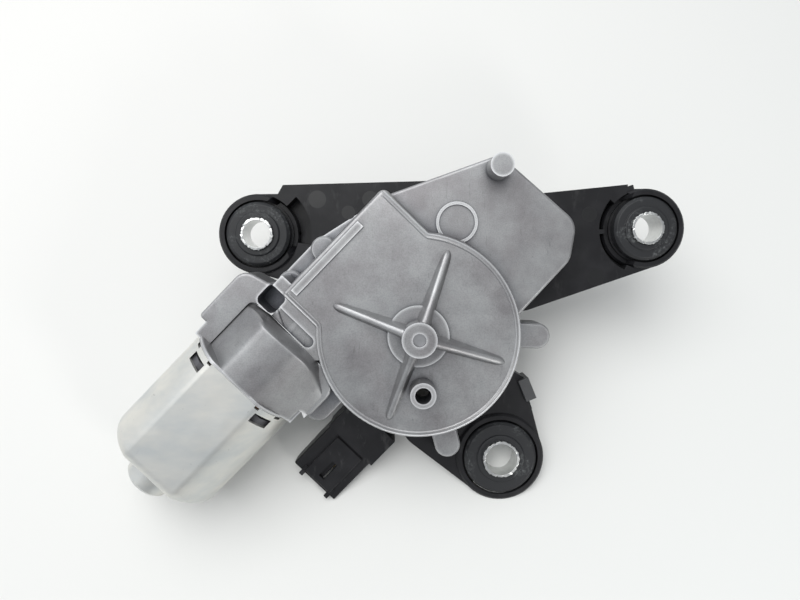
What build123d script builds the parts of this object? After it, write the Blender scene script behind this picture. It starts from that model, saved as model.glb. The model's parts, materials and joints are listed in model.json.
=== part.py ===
from build123d import *
import os
from math import acos, atan2, ceil, cos, degrees, hypot, pi, radians, sin, sqrt, tan

# Rear wiper motor, in millimetres. The origin is on the output shaft axis, in the plane where
# the mounting sleeves meet the car body. +X runs from the left eye to the right eye, +Y to the
# top of the unit, and +Z away from the body, towards the ribbed gearbox roof.

# ---- gear train ----
wheel_x = -16.4              # worm wheel axis, seen from the output shaft
wheel_y = -44.2
motor_angle = 225.0          # way the motor points from the wheel, in degrees from +X
motor_z = 24.0               # height of the motor shaft
wheel_teeth = 60
wheel_module = 1.08
worm_pitch_radius = 5.2
worm_dedendum = 1.25         # depth below the pitch line, in modules
tooth_pressure = 20.0        # pressure angle of every tooth, in degrees
worm_turns = 5               # an odd number leaves a groove facing the wheel at rest
worm_end = 1.5               # plain core beyond the thread
worm_backlash = 0.15         # taken off each flank of a wheel tooth and of the thread
worm_clearance = 2.4
thread_sink = 0.35
wheel_face = 10.0
wheel_rim_wall = 3.2
wheel_web = 2.4
wheel_floor_rise = 1.0       # web above the lower face of the rim
wheel_hub_radius = 6.5
wheel_hub_drop = 1.5
wheel_spokes = 6
wheel_spoke_width = 2.0
wheel_spoke_drop = 3.0
axle_radius = 2.5
axle_recess = 2.2            # axle end below the top of the boss
axle_tail = 0.6
groove_depth = 0.6
clip_thickness = 0.8
clip_width = 1.2
disc_thickness = 0.8
disc_outer = 27.0
disc_inner = 14.0
track_width = 5.0
park_gap_width = 8.0
park_gap_angle = 200.0
crank_radius = 8.0
rod_length = 58.0            # crank pin to the rivet at the lever
crank_boss_radius = 4.4
crank_pin_radius = 2.5
rod_eye_radius = 5.8
rod_width = 10.0
rod_hub_radius = 6.0
lever_width = 11.0
lever_eye_radius = 8.0
lever_pin_radius = 3.0
pin_head_radius = 4.6
pin_head_height = 0.8
sector_teeth = 36
pinion_teeth = 12
sector_module = 4.0 / 3.0
tooth_backlash = 0.12        # taken off each flank of the sector and pinion teeth
tooth_addendum = 1.0
tooth_dedendum = 1.33
sector_margin = 9.0          # teeth beyond the stroke, in degrees

# ---- heights of the layers ----
sleeve_length = 14.0
cover_top = 5.2
cover_wall = 2.4
gasket_thickness = 0.8
flange_top = 22.0
roof_top = 34.0
neck_top = 33.4
boss_top = 47.5
linkage_bottom = 7.2         # underside of the lower lever plate
lever_thickness = 2.0
sector_thickness = 4.0
layer_gap = 0.3

# ---- gearbox housing ----
casting_wall = 2.6
wall_draft = 7.0
bowl_radius = 39.7
gallery_half = 11.6          # worm gallery, from the motor axis to the outer wall
gallery_start = -31.0        # along the motor axis, from the wheel axis
gallery_end = 25.0
gallery_corner = 3.0
shelf_height = 3.0           # low shelf outside the gallery, between and beyond two screw lugs
flange_corner_radius = 5.3
flange_nose_radius = 48.6    # reach of the linkage flange from the output shaft
lug_radius = 5.4
lug_height = 9.0
lug_chamfer = 0.6
lug_reach = 50.5             # from the wheel axis
lug_angles = (-3.6, -75.8)
side_lug_stations = (2.8, 22.6)
boss_radius = 6.6
boss_disc_radius = 12.0
boss_disc_height = 1.5
rib_angles = (70.0, 159.0, 249.5, 342.0)
rib_reach = 34.3
rib_root_width = 5.6
rib_tip_width = 3.0
rib_tip_height = 1.3
rib_tip_flat = 0.3
rib_root_height = 10.5
tube_offset = (1.2, -21.2)   # breather tube, from the wheel axis
tube_radius = 4.9
tube_bore_radius = 3.1
tube_height = 11.0
stud_x = 16.4                # blind stud on the corner of the linkage flange
stud_y = 21.0
stud_radius = 4.6
stud_height = 13.0
ring_radius = 8.4            # raised ring over the end of the output shaft
ring_width = 1.2
ring_height = 0.7
bar_width = 3.0
bar_height = 0.7
edge_round = 1.2
flange_edge_angles = (18.9, -41.5)
flange_nose_angles = (-0.7, -18.9)
flange_foot_angle = 6.0      # about the wheel axis
nose_round = 8.5
shelf_start = -29.0
side_lug_standout = 2.2
neck_half = 16.6
trough_start = 29.4          # across the neck, over the shaft passage
trough_end = 34.0
trough_right = -27.0
trough_wall = 1.2
pit_right = -46.4            # deep end of the trough, beside the left ear
pit_floor = 20.0
pit_round = 2.2
rib_sink = 1.0
bar_offset = -8.5            # from the motor axis
bar_start = -15.5
bar_length = 37.0
upper_boss_radius = 7.0
bell_round = 2.5
ear_slant = 12.0
ear_end_round = 1.5

# ---- end bell, where the housing takes the can ----
mouth = 60.0                 # along the motor axis, from the wheel axis
bell_start = 35.0
bell_flat_half = 11.5
bell_shoulder_half = 18.5
bell_shoulder_drop = 12.5
ear_half = 29.2
ear_top = 32.5
ear_bottom = 14.0
ear_end = 54.0
left_ear_start = 25.6
left_ear_slant = 3.2
left_ear_root = 17.8           # side of the left ear towards the shaft
right_ear_start = 38.0
collar_half = 25.5
ear_corner = 6.0
lobe_top = 20.0
lobe_edge = -1.6             # across the motor axis, from the wheel axis
lobe_end = 57.0

# ---- can and motor ----
can_half_width = 24.6
can_half_thickness = 21.5
can_length = 50.5
can_wall = 1.5
can_fold_radius = 4.0        # between the flats and the round sides
can_corner = 5.5
nose_radius = 9.4
nose_length = 11.0
nose_chamfer = 1.4
window_offset = 16.2         # from the motor axis
window_width = 6.5
window_height = 12.0
window_setback = 2.4
window_depth = 4.0
notch_width = 1.8            # in the mouth of the can, beside each window
notch_depth = 1.1
shaft_radius = 3.0
magnet_thickness = 3.6
magnet_half_height = 17.0
magnet_overhang = 3.0
core_start = 67.0
core_length = 30.0
core_slots = 8
slot_depth = 6.0
slot_width = 5.0
slot_lip = 1.4
slot_opening = 1.8
end_turn_length = 5.0
end_turn_bore = 5.0
end_turn_setback = 2.4
commutator_start = 45.0
commutator_radius = 9.0
commutator_length = 12.0
slit_depth = 2.0
slit_width = 0.7
air_gap = 0.7
button_radius = 4.0
tail_bush_length = 6.0
tail_room = 2.0
rear_bush_setback = 1.5
rear_bush_length = 7.0
axial_gap = 0.6
brush_plate_start = 41.0
brush_plate_thickness = 2.5
brush_width = 4.0
brush_length = 5.0           # along the shaft
brush_reach = 3.8
brush_box_wall = 1.0
brush_gap = 0.1

# ---- bracket and mounting eyes ----
eye_span = 163.2             # between the upper eyes
eye_middle_x = -1.0
eye_y = -3.0
lower_eye_x = 19.0
lower_eye_y = -100.5
eye_radius = 16.8
lower_eye_radius = 18.9
eye_wall = 2.5
eye_web = 3.0
eye_bottom = 0.6
eye_top = 10.4
grommet_gap = 0.9            # open ring between bushing and eye
grommet_standout = 2.2
sleeve_bore_radius = 5.7
lower_sleeve_bore_radius = 6.7
sleeve_wall = 0.9
sleeve_flange_width = 4.5
sleeve_flange_thickness = 1.2
arm_top = 9.0
arm_bottom = -1.0
arm_web = 2.4
arm_wall = 2.4
arm_rib = 1.8
arm_clearance = 0.5          # between the arms and the casting
arm_limit = 30.0             # along the motor axis, where the arms end under the bell
arm_rib_spacing = 16.0
arm_rib_turn = 45.0
arm_rib_count = 5
arm_rib_setback = 1.0
arm_shoulder_x = 10.6
arm_shoulder_y = 17.5
arm_rise = 1.0
left_arm_depth = 22.0
right_arm_foot = (31.0, -37.0)
right_arm_root_x = 37.7
right_arm_root_y = 12.6
right_arm_tip_y = 15.7
arm_slope = 15.0             # lower edge of the right arm, in degrees
eye_end = 7.0
lower_arm_right_angle = 22.0
lower_arm_left_angle = 237.0
lower_arm_right_root = (29.5, -66.0)
lower_arm_left_root = (-24.5, -90.0)
lower_arm_round = 12.0
lower_arm_overlap = 6.0
pocket_floor = 2.0
pocket_wall = 1.8
left_pocket_radius = 22.3
left_pocket_angles = (-13.0, 44.0)
right_pocket_radius = 19.0
right_pocket_angles = ((110.0, 180.0), (186.0, 245.0))
web_drop = 0.5
eye_chamfer = 0.8
grommet_waist = 3.4
grommet_collar = 2.6
grommet_step = 0.8
grommet_round = 1.2
gasket_setback = 0.5
gasket_width = 1.6

# ---- output side ----
shaft_tip = -45.0
output_radius = 5.0
thread_radius = 4.0
thread_length = 14.0
cone_length = 9.0
cone_small_radius = 4.2
tower_radius = 11.0
tower_root_radius = 12.5
tower_root_length = 9.0
tower_length = 19.0
tower_ribs = 6
tower_rib_width = 1.8
tower_rib_reach = 7.5
bush_wall = 1.6
running_gap = 0.03           # radial, between a shaft and its bush
journal_radius = 3.5
seal_height = 4.0
seal_extra = 1.4
washer_radius = 8.5
washer_thickness = 1.0
end_play = 0.15
upper_bush_rise = 1.0        # into the flange
thread_chamfer = 0.8
front_bush_radius = 7.0
front_bush_start = 18.0
front_bush_length = 9.0
shaft_passage_radius = 6.6  # lets the worm through

# ---- connector ----
connector_inner = 2.6        # across the motor axis, from the wheel axis
connector_outer = 26.2
connector_start = 41.0
connector_end = 78.0
connector_bottom = -3.0
connector_top = 12.5
connector_wall = 2.0
connector_round = 1.0
collar_end = 55.5
collar_step = 0.7
bowl_gap = 2.2
neck_reach = 8.0
latch_setback = 3.6
latch_length = 8.4
latch_width = 2.8
panel_width = 14.6           # raised panel on top, between two lower strips
panel_offset = 0.8
panel_height = 1.2
panel_gap = 1.0              # groove between the collar and the panel
panel_setback = 0.8
panel_chamfer = 0.4
peg_length = 1.8
peg_root = 3.0
peg_width = 1.8
socket_depth = 18.0
terminal_width = 2.2
terminal_thickness = 0.8
terminal_length = 10.0
terminal_root = 6.0
terminal_count = 4
terminal_pitch = 4.6

# ---- fasteners ----
screw_radius = 2.2
screw_head_radius = 4.2
screw_head_height = 2.6
screw_length = 9.0
clip_start = (29.0, -66.5)   # harness clip, along the edge of the lower lug
clip_end = (32.6, -75.5)
clip_body_width = 4.6
clip_bottom = -1.6
clip_top = 11.0

# ---- contact fingers ----
finger_count = 3
finger_angle = 250.0
finger_start = 14.0
finger_pitch = 4.2
finger_width = 2.4
finger_thickness = 0.5
finger_foot = 5.0
finger_reach = 12.0
finger_pad = 2.0
finger_gap = 0.3

wheel_pitch_radius = wheel_teeth * wheel_module / 2
worm_offset = wheel_pitch_radius + worm_pitch_radius
worm_pitch = pi * wheel_module
worm_length = worm_turns * worm_pitch + 2 * worm_end
mesh_angle = motor_angle - 90
lever_length = (sector_teeth + pinion_teeth) * sector_module / 2
housing_bottom = cover_top + gasket_thickness
cover_bottom = cover_top - cover_wall
sector_bottom = linkage_bottom + lever_thickness + layer_gap
sector_top = sector_bottom + sector_thickness
lever_upper_bottom = sector_top + layer_gap
lever_upper_top = lever_upper_bottom + lever_thickness
crank_boss_bottom = sector_top + layer_gap
wheel_bottom = motor_z - wheel_face / 2
wheel_top = motor_z + wheel_face / 2
core_radius = can_half_width - can_wall - magnet_thickness - air_gap
worm_room = worm_pitch_radius + wheel_module + worm_clearance
tunnel_start = gallery_start + casting_wall
tail_start = tunnel_start + tail_room
hub_bottom = wheel_bottom - wheel_hub_drop
axle_bottom = hub_bottom - clip_thickness - 2 * axle_tail
rod_bush_radius = crank_pin_radius + bush_wall
upper_boss_bottom = lever_upper_top + 2 * end_play
upper_bush_top = flange_top - casting_wall + upper_bush_rise
tower_bottom = cover_bottom - tower_length
roof_inside = roof_top - casting_wall
flange_inside = flange_top - casting_wall
can_end = mouth + can_length
wheel_distance = hypot(wheel_x, wheel_y)

# The linkage parks with the crank folded back along the rod, which is one end of the stroke.
park_reach = rod_length - crank_radius
from_shaft = degrees(atan2(wheel_y, wheel_x))


def lever_angle(reach):
    """Way the lever points when its pin is this far from the wheel axis, in degrees from +X."""
    turn = (wheel_distance**2 + lever_length**2 - reach**2) / (2 * wheel_distance * lever_length)
    return from_shaft + degrees(acos(turn))


def around(angle, radius, centre=(0.0, 0.0)):
    """Point at an angle and a radius about a centre, in plan."""
    x = centre[0] + radius * cos(radians(angle))
    y = centre[1] + radius * sin(radians(angle))
    return x, y


wheel_centre = (wheel_x, wheel_y)
park_lever = lever_angle(park_reach)
park_pin = around(park_lever, lever_length)
rod_angle = degrees(atan2(park_pin[1] - wheel_y, park_pin[0] - wheel_x))
crank_centre = around(rod_angle + 180, crank_radius, wheel_centre)
end_lever = lever_angle(park_reach + 2 * crank_radius)
end_pin = around(end_lever, lever_length)
end_rod_angle = degrees(atan2(end_pin[1] - wheel_y, end_pin[0] - wheel_x))

# Plan view along the motor: local x runs towards the can, local y across it to the connector.
motor_plan = Plane(
    origin=(wheel_x, wheel_y, 0),
    x_dir=(cos(radians(motor_angle)), sin(radians(motor_angle)), 0),
    z_dir=(0, 0, 1),
)


def across(station):
    """Plane square to the motor shaft: local x across it, local y up, facing the can."""
    centre = motor_plan.from_local_coords((station, -worm_offset, motor_z))
    return Plane(origin=centre, x_dir=motor_plan.y_dir, z_dir=motor_plan.x_dir)


def disc(x, y, radius, bottom, top):
    """Upright cylinder between two heights."""
    return Pos(x, y, bottom) * extrude(Circle(radius), top - bottom)


def tube(x, y, outer, inner, bottom, top):
    """Upright tube between two heights."""
    return disc(x, y, outer, bottom, top) - disc(x, y, inner, bottom, top)


def plate(sketch, bottom, top, taper=0):
    """Plan outline made solid between two heights."""
    return Pos(0, 0, bottom) * extrude(sketch, top - bottom, dir=(0, 0, 1), taper=taper)


def in_motor_plan(sketch):
    """Outline drawn along the motor, moved to its place in plan."""
    return motor_plan * sketch


def bar(start, end, width):
    """Straight strip with round ends, in plan."""
    length = hypot(end[0] - start[0], end[1] - start[1])
    middle = ((start[0] + end[0]) / 2, (start[1] + end[1]) / 2)
    turn = degrees(atan2(end[1] - start[1], end[0] - start[0]))
    return Pos(*middle) * Rot(0, 0, turn) * SlotCenterToCenter(length, width)


def run(section, start, end):
    """Section square to the motor shaft, made solid between two stations."""
    return extrude(across(start) * section, end - start, dir=motor_plan.x_dir)


def last_edges(shape):
    """Edges of the face nearest the nose of the can."""
    return shape.faces().sort_by(Axis(motor_plan.origin, motor_plan.x_dir))[-1].edges()


def along_shaft(radius, start, end, bore=0.0):
    """Turned piece on the motor shaft axis between two stations."""
    section = Circle(radius)
    if bore > 0:
        section -= Circle(bore)
    return run(section, start, end)


# ---- toothed pieces ----
def gear_points(teeth, module, addendum, dedendum, thinning, steps, first=0, count=0):
    """Outline of involute teeth about the origin, with tooth 0 centred on +X."""
    pressure_angle = radians(tooth_pressure)
    pitch_radius = teeth * module / 2
    base_radius = pitch_radius * cos(pressure_angle)
    tip_radius = pitch_radius + addendum
    root_radius = pitch_radius - dedendum
    start_radius = max(base_radius, root_radius)
    half_tooth = pi / 2 / teeth - thinning / pitch_radius + tan(pressure_angle) - pressure_angle
    flank = []
    for step in range(steps + 1):
        radius = start_radius + (tip_radius - start_radius) * step / steps
        roll = acos(base_radius / radius)
        flank.append((radius, half_tooth - tan(roll) + roll))
    if root_radius < base_radius:
        flank.insert(0, (root_radius, flank[0][1]))
    points = []
    for tooth in range(first, first + (count or teeth)):
        middle = 2 * pi * tooth / teeth
        for radius, half in flank:
            points.append((radius * cos(middle - half), radius * sin(middle - half)))
        for radius, half in reversed(flank):
            points.append((radius * cos(middle + half), radius * sin(middle + half)))
    return points


def worm_wheel():
    """Moulded wheel: helical rim, thin web, hub and the boss that holds the crank pin."""
    dedendum = worm_dedendum * wheel_module
    teeth = gear_points(wheel_teeth, wheel_module, wheel_module, dedendum, worm_backlash, 1)
    outline = Polygon(*teeth, align=None)
    lead_angle = wheel_module / (2 * worm_pitch_radius)
    twist = degrees(wheel_face * lead_angle / wheel_pitch_radius)
    lower = Pos(0, 0, wheel_bottom) * Rot(0, 0, mesh_angle - twist / 2) * outline
    upper = Pos(0, 0, wheel_top) * Rot(0, 0, mesh_angle + twist / 2) * outline
    rim = loft([lower.face(), upper.face()], ruled=True)
    inner = wheel_pitch_radius - dedendum - wheel_rim_wall
    rim -= disc(0, 0, inner, wheel_bottom, wheel_top)
    floor = wheel_bottom + wheel_floor_rise
    core = disc(0, 0, inner, floor, floor + wheel_web)
    core += disc(0, 0, wheel_hub_radius, hub_bottom, wheel_top)
    for spoke in range(wheel_spokes):
        rib = Pos(inner / 2, 0) * Rectangle(inner, wheel_spoke_width)
        core += plate(Rot(0, 0, spoke * 360 / wheel_spokes) * rib, floor, wheel_top - wheel_spoke_drop)
    wheel = Pos(wheel_x, wheel_y, 0) * (rim + core)
    wheel += disc(*crank_centre, crank_boss_radius, crank_boss_bottom, floor)
    wheel -= disc(*crank_centre, crank_pin_radius, crank_boss_bottom, floor + wheel_web)
    wheel -= disc(*wheel_centre, axle_radius + running_gap, crank_boss_bottom, wheel_top)
    return wheel


def crank_pin():
    """Steel pin pressed into the crank boss."""
    top = wheel_bottom + wheel_floor_rise + wheel_web
    return disc(*crank_centre, crank_pin_radius, crank_boss_bottom, top)


def contact_disc():
    """Brass disc on the underside of the wheel: an inner ring and a park track with a gap."""
    bottom = wheel_bottom - disc_thickness
    ring = tube(*wheel_centre, disc_outer, disc_inner, bottom, wheel_bottom + wheel_floor_rise)
    gap_middle = around(park_gap_angle, disc_outer - track_width / 2, wheel_centre)
    gap = Pos(*gap_middle) * Rot(0, 0, park_gap_angle) * Rectangle(track_width, park_gap_width)
    return ring - plate(gap, bottom, wheel_bottom + wheel_floor_rise)


def wheel_axle():
    """Steel axle pressed into the roof boss, with its end set back in the hole."""
    axle = disc(*wheel_centre, axle_radius, axle_bottom, boss_top - axle_recess)
    groove = axle_bottom + axle_tail
    return axle - tube(
        *wheel_centre, axle_radius, axle_radius - groove_depth, groove, groove + clip_thickness
    )


def clip_ring(x, y, inner, width, bottom):
    """Open retaining ring that snaps into a groove."""
    ring = tube(x, y, inner + width, inner, bottom, bottom + clip_thickness)
    slot = Pos(x + inner + width / 2, y) * Rectangle(width * 2, inner)
    return ring - plate(slot, bottom, bottom + clip_thickness)


def axle_clip():
    """Retaining ring that keeps the wheel on its axle."""
    return clip_ring(*wheel_centre, axle_radius - groove_depth, clip_width, axle_bottom + axle_tail)


def thread_half_width(radius):
    """Half the axial width of the worm thread at a radius."""
    slope = tan(radians(tooth_pressure))
    return worm_pitch / 4 - worm_backlash - slope * (radius - worm_pitch_radius)


def worm():
    """Single-start worm: a core with a right-hand thread of straight flanks."""
    tip = worm_pitch_radius + wheel_module
    root = worm_pitch_radius - worm_dedendum * wheel_module
    inner = root - thread_sink
    section = Polygon(
        (0, -thread_half_width(inner)), (tip - inner, -thread_half_width(tip)),
        (tip - inner, thread_half_width(tip)), (0, thread_half_width(inner)), align=None,
    )
    start = Plane(origin=(inner, 0, 0), x_dir=(1, 0, 0), z_dir=(0, -1, 0))
    helix = Helix(worm_pitch, worm_turns * worm_pitch, inner)
    thread = Pos(0, 0, worm_end) * sweep(start * section, path=helix, is_frenet=True)
    turned = extrude(Circle(root), worm_length) + thread
    turned -= extrude(Circle(shaft_radius), worm_length)
    return across(-worm_length / 2).location * turned


def sector_rod():
    """Flat rod with an eye over the crank and a toothed sector round the lever pin."""
    first_contact = park_lever + 180
    travel = end_lever - park_lever - (end_rod_angle - rod_angle)
    tooth_step = 360 / sector_teeth
    first = -ceil(sector_margin / tooth_step)
    last = ceil((travel + sector_margin) / tooth_step)
    teeth = gear_points(
        sector_teeth, sector_module, tooth_addendum, tooth_dedendum, tooth_backlash, 3,
        first, last - first + 1,
    )
    fan = Pos(*park_pin) * Rot(0, 0, first_contact) * Polygon((0, 0), *teeth, align=None)
    hub = Pos(*park_pin) * Circle(rod_hub_radius)
    eye = Pos(*crank_centre) * Circle(rod_eye_radius)
    outline = fan + hub + eye + bar(crank_centre, park_pin, rod_width)
    outline -= Pos(*crank_centre) * Circle(rod_bush_radius)
    outline -= Pos(*park_pin) * Circle(lever_pin_radius + running_gap)
    slot_start = around(rod_angle, rod_length / 4, crank_centre)
    slot_end = around(rod_angle, rod_length / 2, crank_centre)
    outline -= bar(slot_start, slot_end, rod_width / 3)
    return plate(outline, sector_bottom, sector_top)


def rod_bush():
    """Bronze bush in the eye of the rod, where the crank pin runs."""
    return tube(*crank_centre, rod_bush_radius, crank_pin_radius, sector_bottom, sector_top)


def lever_strip(bottom):
    """Flat lever plate between the output shaft and the lever pin."""
    strip = bar((0, 0), park_pin, lever_width) + Circle(lever_eye_radius)
    strip = plate(strip, bottom, bottom + lever_thickness)
    strip -= disc(0, 0, output_radius + running_gap, bottom, bottom + lever_thickness)
    return strip - disc(*park_pin, lever_pin_radius, bottom, bottom + lever_thickness)


def lever_lower():
    """Lever plate under the sector."""
    return lever_strip(linkage_bottom)


def lever_upper():
    """Lever plate over the sector, with a smaller bore for the upper end of the shaft."""
    return lever_strip(lever_upper_bottom)


def lever_pin():
    """Rivet that joins the lever plates and carries the sector."""
    pin = disc(*park_pin, lever_pin_radius, linkage_bottom - pin_head_height, lever_upper_top)
    pin += disc(*park_pin, pin_head_radius, linkage_bottom - pin_head_height, linkage_bottom)
    head_top = lever_upper_top + pin_head_height
    return pin + disc(*park_pin, pin_head_radius, lever_upper_top, head_top)


def output_pinion():
    """Pinion on the output shaft, in mesh with the sector."""
    teeth = gear_points(
        pinion_teeth, sector_module, tooth_addendum, tooth_dedendum, tooth_backlash, 3
    )
    turn = park_lever + 180 / pinion_teeth
    outline = Rot(0, 0, turn) * Polygon(*teeth, align=None) - Circle(output_radius)
    return plate(outline, sector_bottom, sector_top)


def output_shaft():
    """Hardened shaft: upper journal, bearing length, drive cone and threaded end."""
    thread_top = shaft_tip + thread_length
    cone_top = thread_top + cone_length
    groove = tower_bottom - washer_thickness - 2 * end_play - clip_thickness
    shaft = disc(0, 0, output_radius, cone_top, lever_upper_top + end_play)
    shaft += disc(0, 0, journal_radius, lever_upper_top + end_play, upper_bush_top - end_play)
    cone = Cone(cone_small_radius, output_radius, cone_length)
    shaft += Pos(0, 0, thread_top + cone_length / 2) * cone
    thread = disc(0, 0, thread_radius, shaft_tip, thread_top)
    shaft += chamfer(thread.edges().sort_by(Axis.Z)[0], thread_chamfer)
    return shaft - tube(0, 0, output_radius, output_radius - groove_depth, groove, groove + clip_thickness)


def output_bush():
    """Sintered bush pressed into the tower of the cover."""
    outer = output_radius + running_gap + bush_wall
    top = cover_top
    return tube(0, 0, outer, output_radius + running_gap, tower_bottom + seal_height, top)


def upper_bush():
    """Bush in the casting for the upper journal of the output shaft."""
    outer = journal_radius + running_gap + bush_wall
    return tube(0, 0, outer, journal_radius + running_gap, upper_boss_bottom, upper_bush_top)


def tower_seal():
    """Lip seal in the mouth of the tower."""
    lip = output_radius + running_gap
    outer = output_radius + running_gap + bush_wall + seal_extra
    return tube(0, 0, outer, lip, tower_bottom, tower_bottom + seal_height)


def shaft_washer():
    """Thrust washer between the tower and the retaining ring."""
    top = tower_bottom - end_play
    return tube(0, 0, washer_radius, output_radius, top - washer_thickness, top)


def shaft_circlip():
    """Retaining ring on the output shaft."""
    groove = tower_bottom - washer_thickness - 2 * end_play - clip_thickness
    return clip_ring(0, 0, output_radius - groove_depth, clip_width, groove)


# ---- gearbox housing ----
def rounded(points, radii):
    """Outline through corner points, each rounded by its own radius, where 0 stays sharp."""
    outline = Polygon(*points, align=None)
    for point, radius in zip(points, radii):
        if radius > 0:
            corner = outline.vertices().sort_by_distance(point)[0]
            outline = fillet(corner, radius)
    face = outline.face()
    return face if face.normal_at().Z > 0 else -face


def gallery_outline(grown=0.0):
    """Plan of the worm gallery beside the wheel bowl."""
    outer = -(worm_offset + gallery_half) - grown
    start = gallery_start - grown
    end = gallery_end + grown
    middle = -sqrt(bowl_radius**2 - gallery_start**2) / 2
    points = ((start, middle), (start, outer), (end, outer), (end, middle))
    return in_motor_plan(rounded(points, (0, gallery_corner, gallery_corner, 0)))


def roof_outline(grown=0.0):
    """Plan of the high roof: the wheel bowl and the worm gallery."""
    bowl = Pos(*wheel_centre) * Circle(bowl_radius + grown)
    return bowl + gallery_outline(grown)


def flange_outline(inset=0.0):
    """Plan of the low linkage flange: stud corner, nose round the lever sweep, foot on the bowl."""
    left = motor_plan.from_local_coords((gallery_start, -(worm_offset + gallery_half), 0))
    normals = [radians(angle + 90) for angle in flange_edge_angles]
    half = (normals[0] - normals[1]) / 2
    middle = (normals[0] + normals[1]) / 2
    reach = flange_corner_radius / cos(half)
    corner = (stud_x + reach * cos(middle), stud_y + reach * sin(middle))
    nose = [around(angle, flange_nose_radius) for angle in flange_nose_angles]
    foot = around(flange_foot_angle, bowl_radius, wheel_centre)
    points = [(left.X, left.Y - gallery_corner / 2), corner, nose[0], nose[1], foot, wheel_centre]
    radii = (0, flange_corner_radius, nose_round, nose_round, 0, 0)
    outline = rounded(points, radii)
    return offset(outline, -inset) if inset else outline


def shelf_outline():
    """Plan of the low shelf outside the worm gallery, which joins the two side lugs and tapers away."""
    wall = -(worm_offset + gallery_half)
    outer = wall - side_lug_standout - lug_radius
    near, far = side_lug_stations
    points = (
        (shelf_start, -worm_offset), (shelf_start, wall), (near, outer), (far, outer), (far, -worm_offset)
    )
    return in_motor_plan(rounded(points, (0, 0, 0, 0, 0)))


def lobe_outline():
    """Plan of the low lobe between the bowl and the connector."""
    inner = -worm_offset
    points = ((0, inner), (0, lobe_edge), (lobe_end, lobe_edge), (lobe_end, inner))
    return in_motor_plan(rounded(points, (0, 0, ear_corner, 0)))


def lug_places():
    """Centres of the screw lugs, each with the point on the casting that it grows from."""
    places = []
    for angle in lug_angles:
        places.append((around(angle, lug_reach, wheel_centre), wheel_centre))
    for station in side_lug_stations:
        outer = -(worm_offset + gallery_half + side_lug_standout)
        centre = motor_plan.from_local_coords((station, outer, 0))
        root = motor_plan.from_local_coords((station, -worm_offset, 0))
        places.append(((centre.X, centre.Y), (root.X, root.Y)))
    return places


def screw_places():
    """Centres of the cover screws: the lugs and the corner under the stud."""
    return [centre for centre, root in lug_places()] + [(stud_x, stud_y)]


def lug_outline(radius):
    """Plan of all the screw lugs, as straight-sided tongues with round ends."""
    outline = Sketch()
    for centre, root in lug_places():
        outline += bar(centre, root, 2 * radius)
    return outline


def casting_outline(grown=0.0):
    """Plan of the casting's open rim, which the cover closes."""
    draft_run = (roof_top - flange_top) * tan(radians(wall_draft))
    outline = roof_outline(draft_run + grown) + shelf_outline()
    flange = flange_outline()
    if grown:
        flange = offset(flange, grown)
    return outline + flange


def bell_section():
    """Eight-sided section of the end bell, flat over and under the can."""
    shoulder = can_half_thickness - bell_shoulder_drop
    quarter = ((bell_flat_half, can_half_thickness), (bell_shoulder_half, shoulder))
    right = list(quarter) + [(x, -y) for x, y in reversed(quarter)]
    points = right + [(-x, y) for x, y in reversed(right)]
    return rounded(points, (bell_round,) * len(points))


def bell_ears():
    """Two ears and the collar that the can seats against."""
    left = -(worm_offset + ear_half)
    right = -(worm_offset - ear_half)
    left_points = (
        (bell_start, -worm_offset), (left_ear_start, -(worm_offset + left_ear_root)),
        (left_ear_start + left_ear_slant, left), (ear_end, left), (ear_end, -worm_offset),
    )
    right_points = (
        (bell_start, -worm_offset), (bell_start, right - ear_slant), (right_ear_start, right),
        (ear_end, right), (ear_end, -worm_offset),
    )
    ears = rounded(left_points, (0, 0, ear_corner, ear_end_round, 0))
    ears += rounded(right_points, (0, 0, ear_corner, ear_corner / 2, 0))
    middle = (bell_start + mouth) / 2
    collar = Pos(middle, -worm_offset) * Rectangle(mouth - bell_start, 2 * collar_half)
    ear_solid = plate(in_motor_plan(ears), ear_bottom, ear_top)
    ear_solid = fillet(ear_solid.edges().group_by(Axis.Z)[-1], edge_round)
    collar_solid = plate(in_motor_plan(collar), ear_bottom, ear_top)
    return ear_solid + collar_solid


def neck():
    """Neck over the shaft between gallery and bell, with a trough across it and a deep pit at one end."""
    start = bowl_radius / 2
    length = bell_start + bell_round - start
    block = Pos(start + length / 2, -worm_offset) * Rectangle(length, 2 * neck_half)
    block = plate(in_motor_plan(block), housing_bottom, neck_top)
    passage_top = motor_z + shaft_passage_radius + trough_wall
    left = -(worm_offset + left_ear_root)
    trough = (
        (trough_start, pit_right), (trough_start, trough_right), (trough_end, trough_right),
        (trough_end, pit_right),
    )
    trough = in_motor_plan(rounded(trough, (0, pit_round, pit_round, 0)))
    pit = ((gallery_end, left), (gallery_end, pit_right), (trough_end, pit_right), (trough_end, left))
    pit = in_motor_plan(rounded(pit, (pit_round, pit_round, pit_round, pit_round)))
    return block - plate(trough, passage_top, neck_top), plate(pit, pit_floor, ear_top + edge_round)


def end_bell():
    """Casting between the gearbox and the can."""
    bell = run(bell_section(), bell_start, mouth)
    bell = fillet(bell.faces().sort_by(Axis(motor_plan.origin, motor_plan.x_dir))[0].edges(), bell_round)
    block, pit = neck()
    return bell + (bell_ears() + block - pit)


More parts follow.
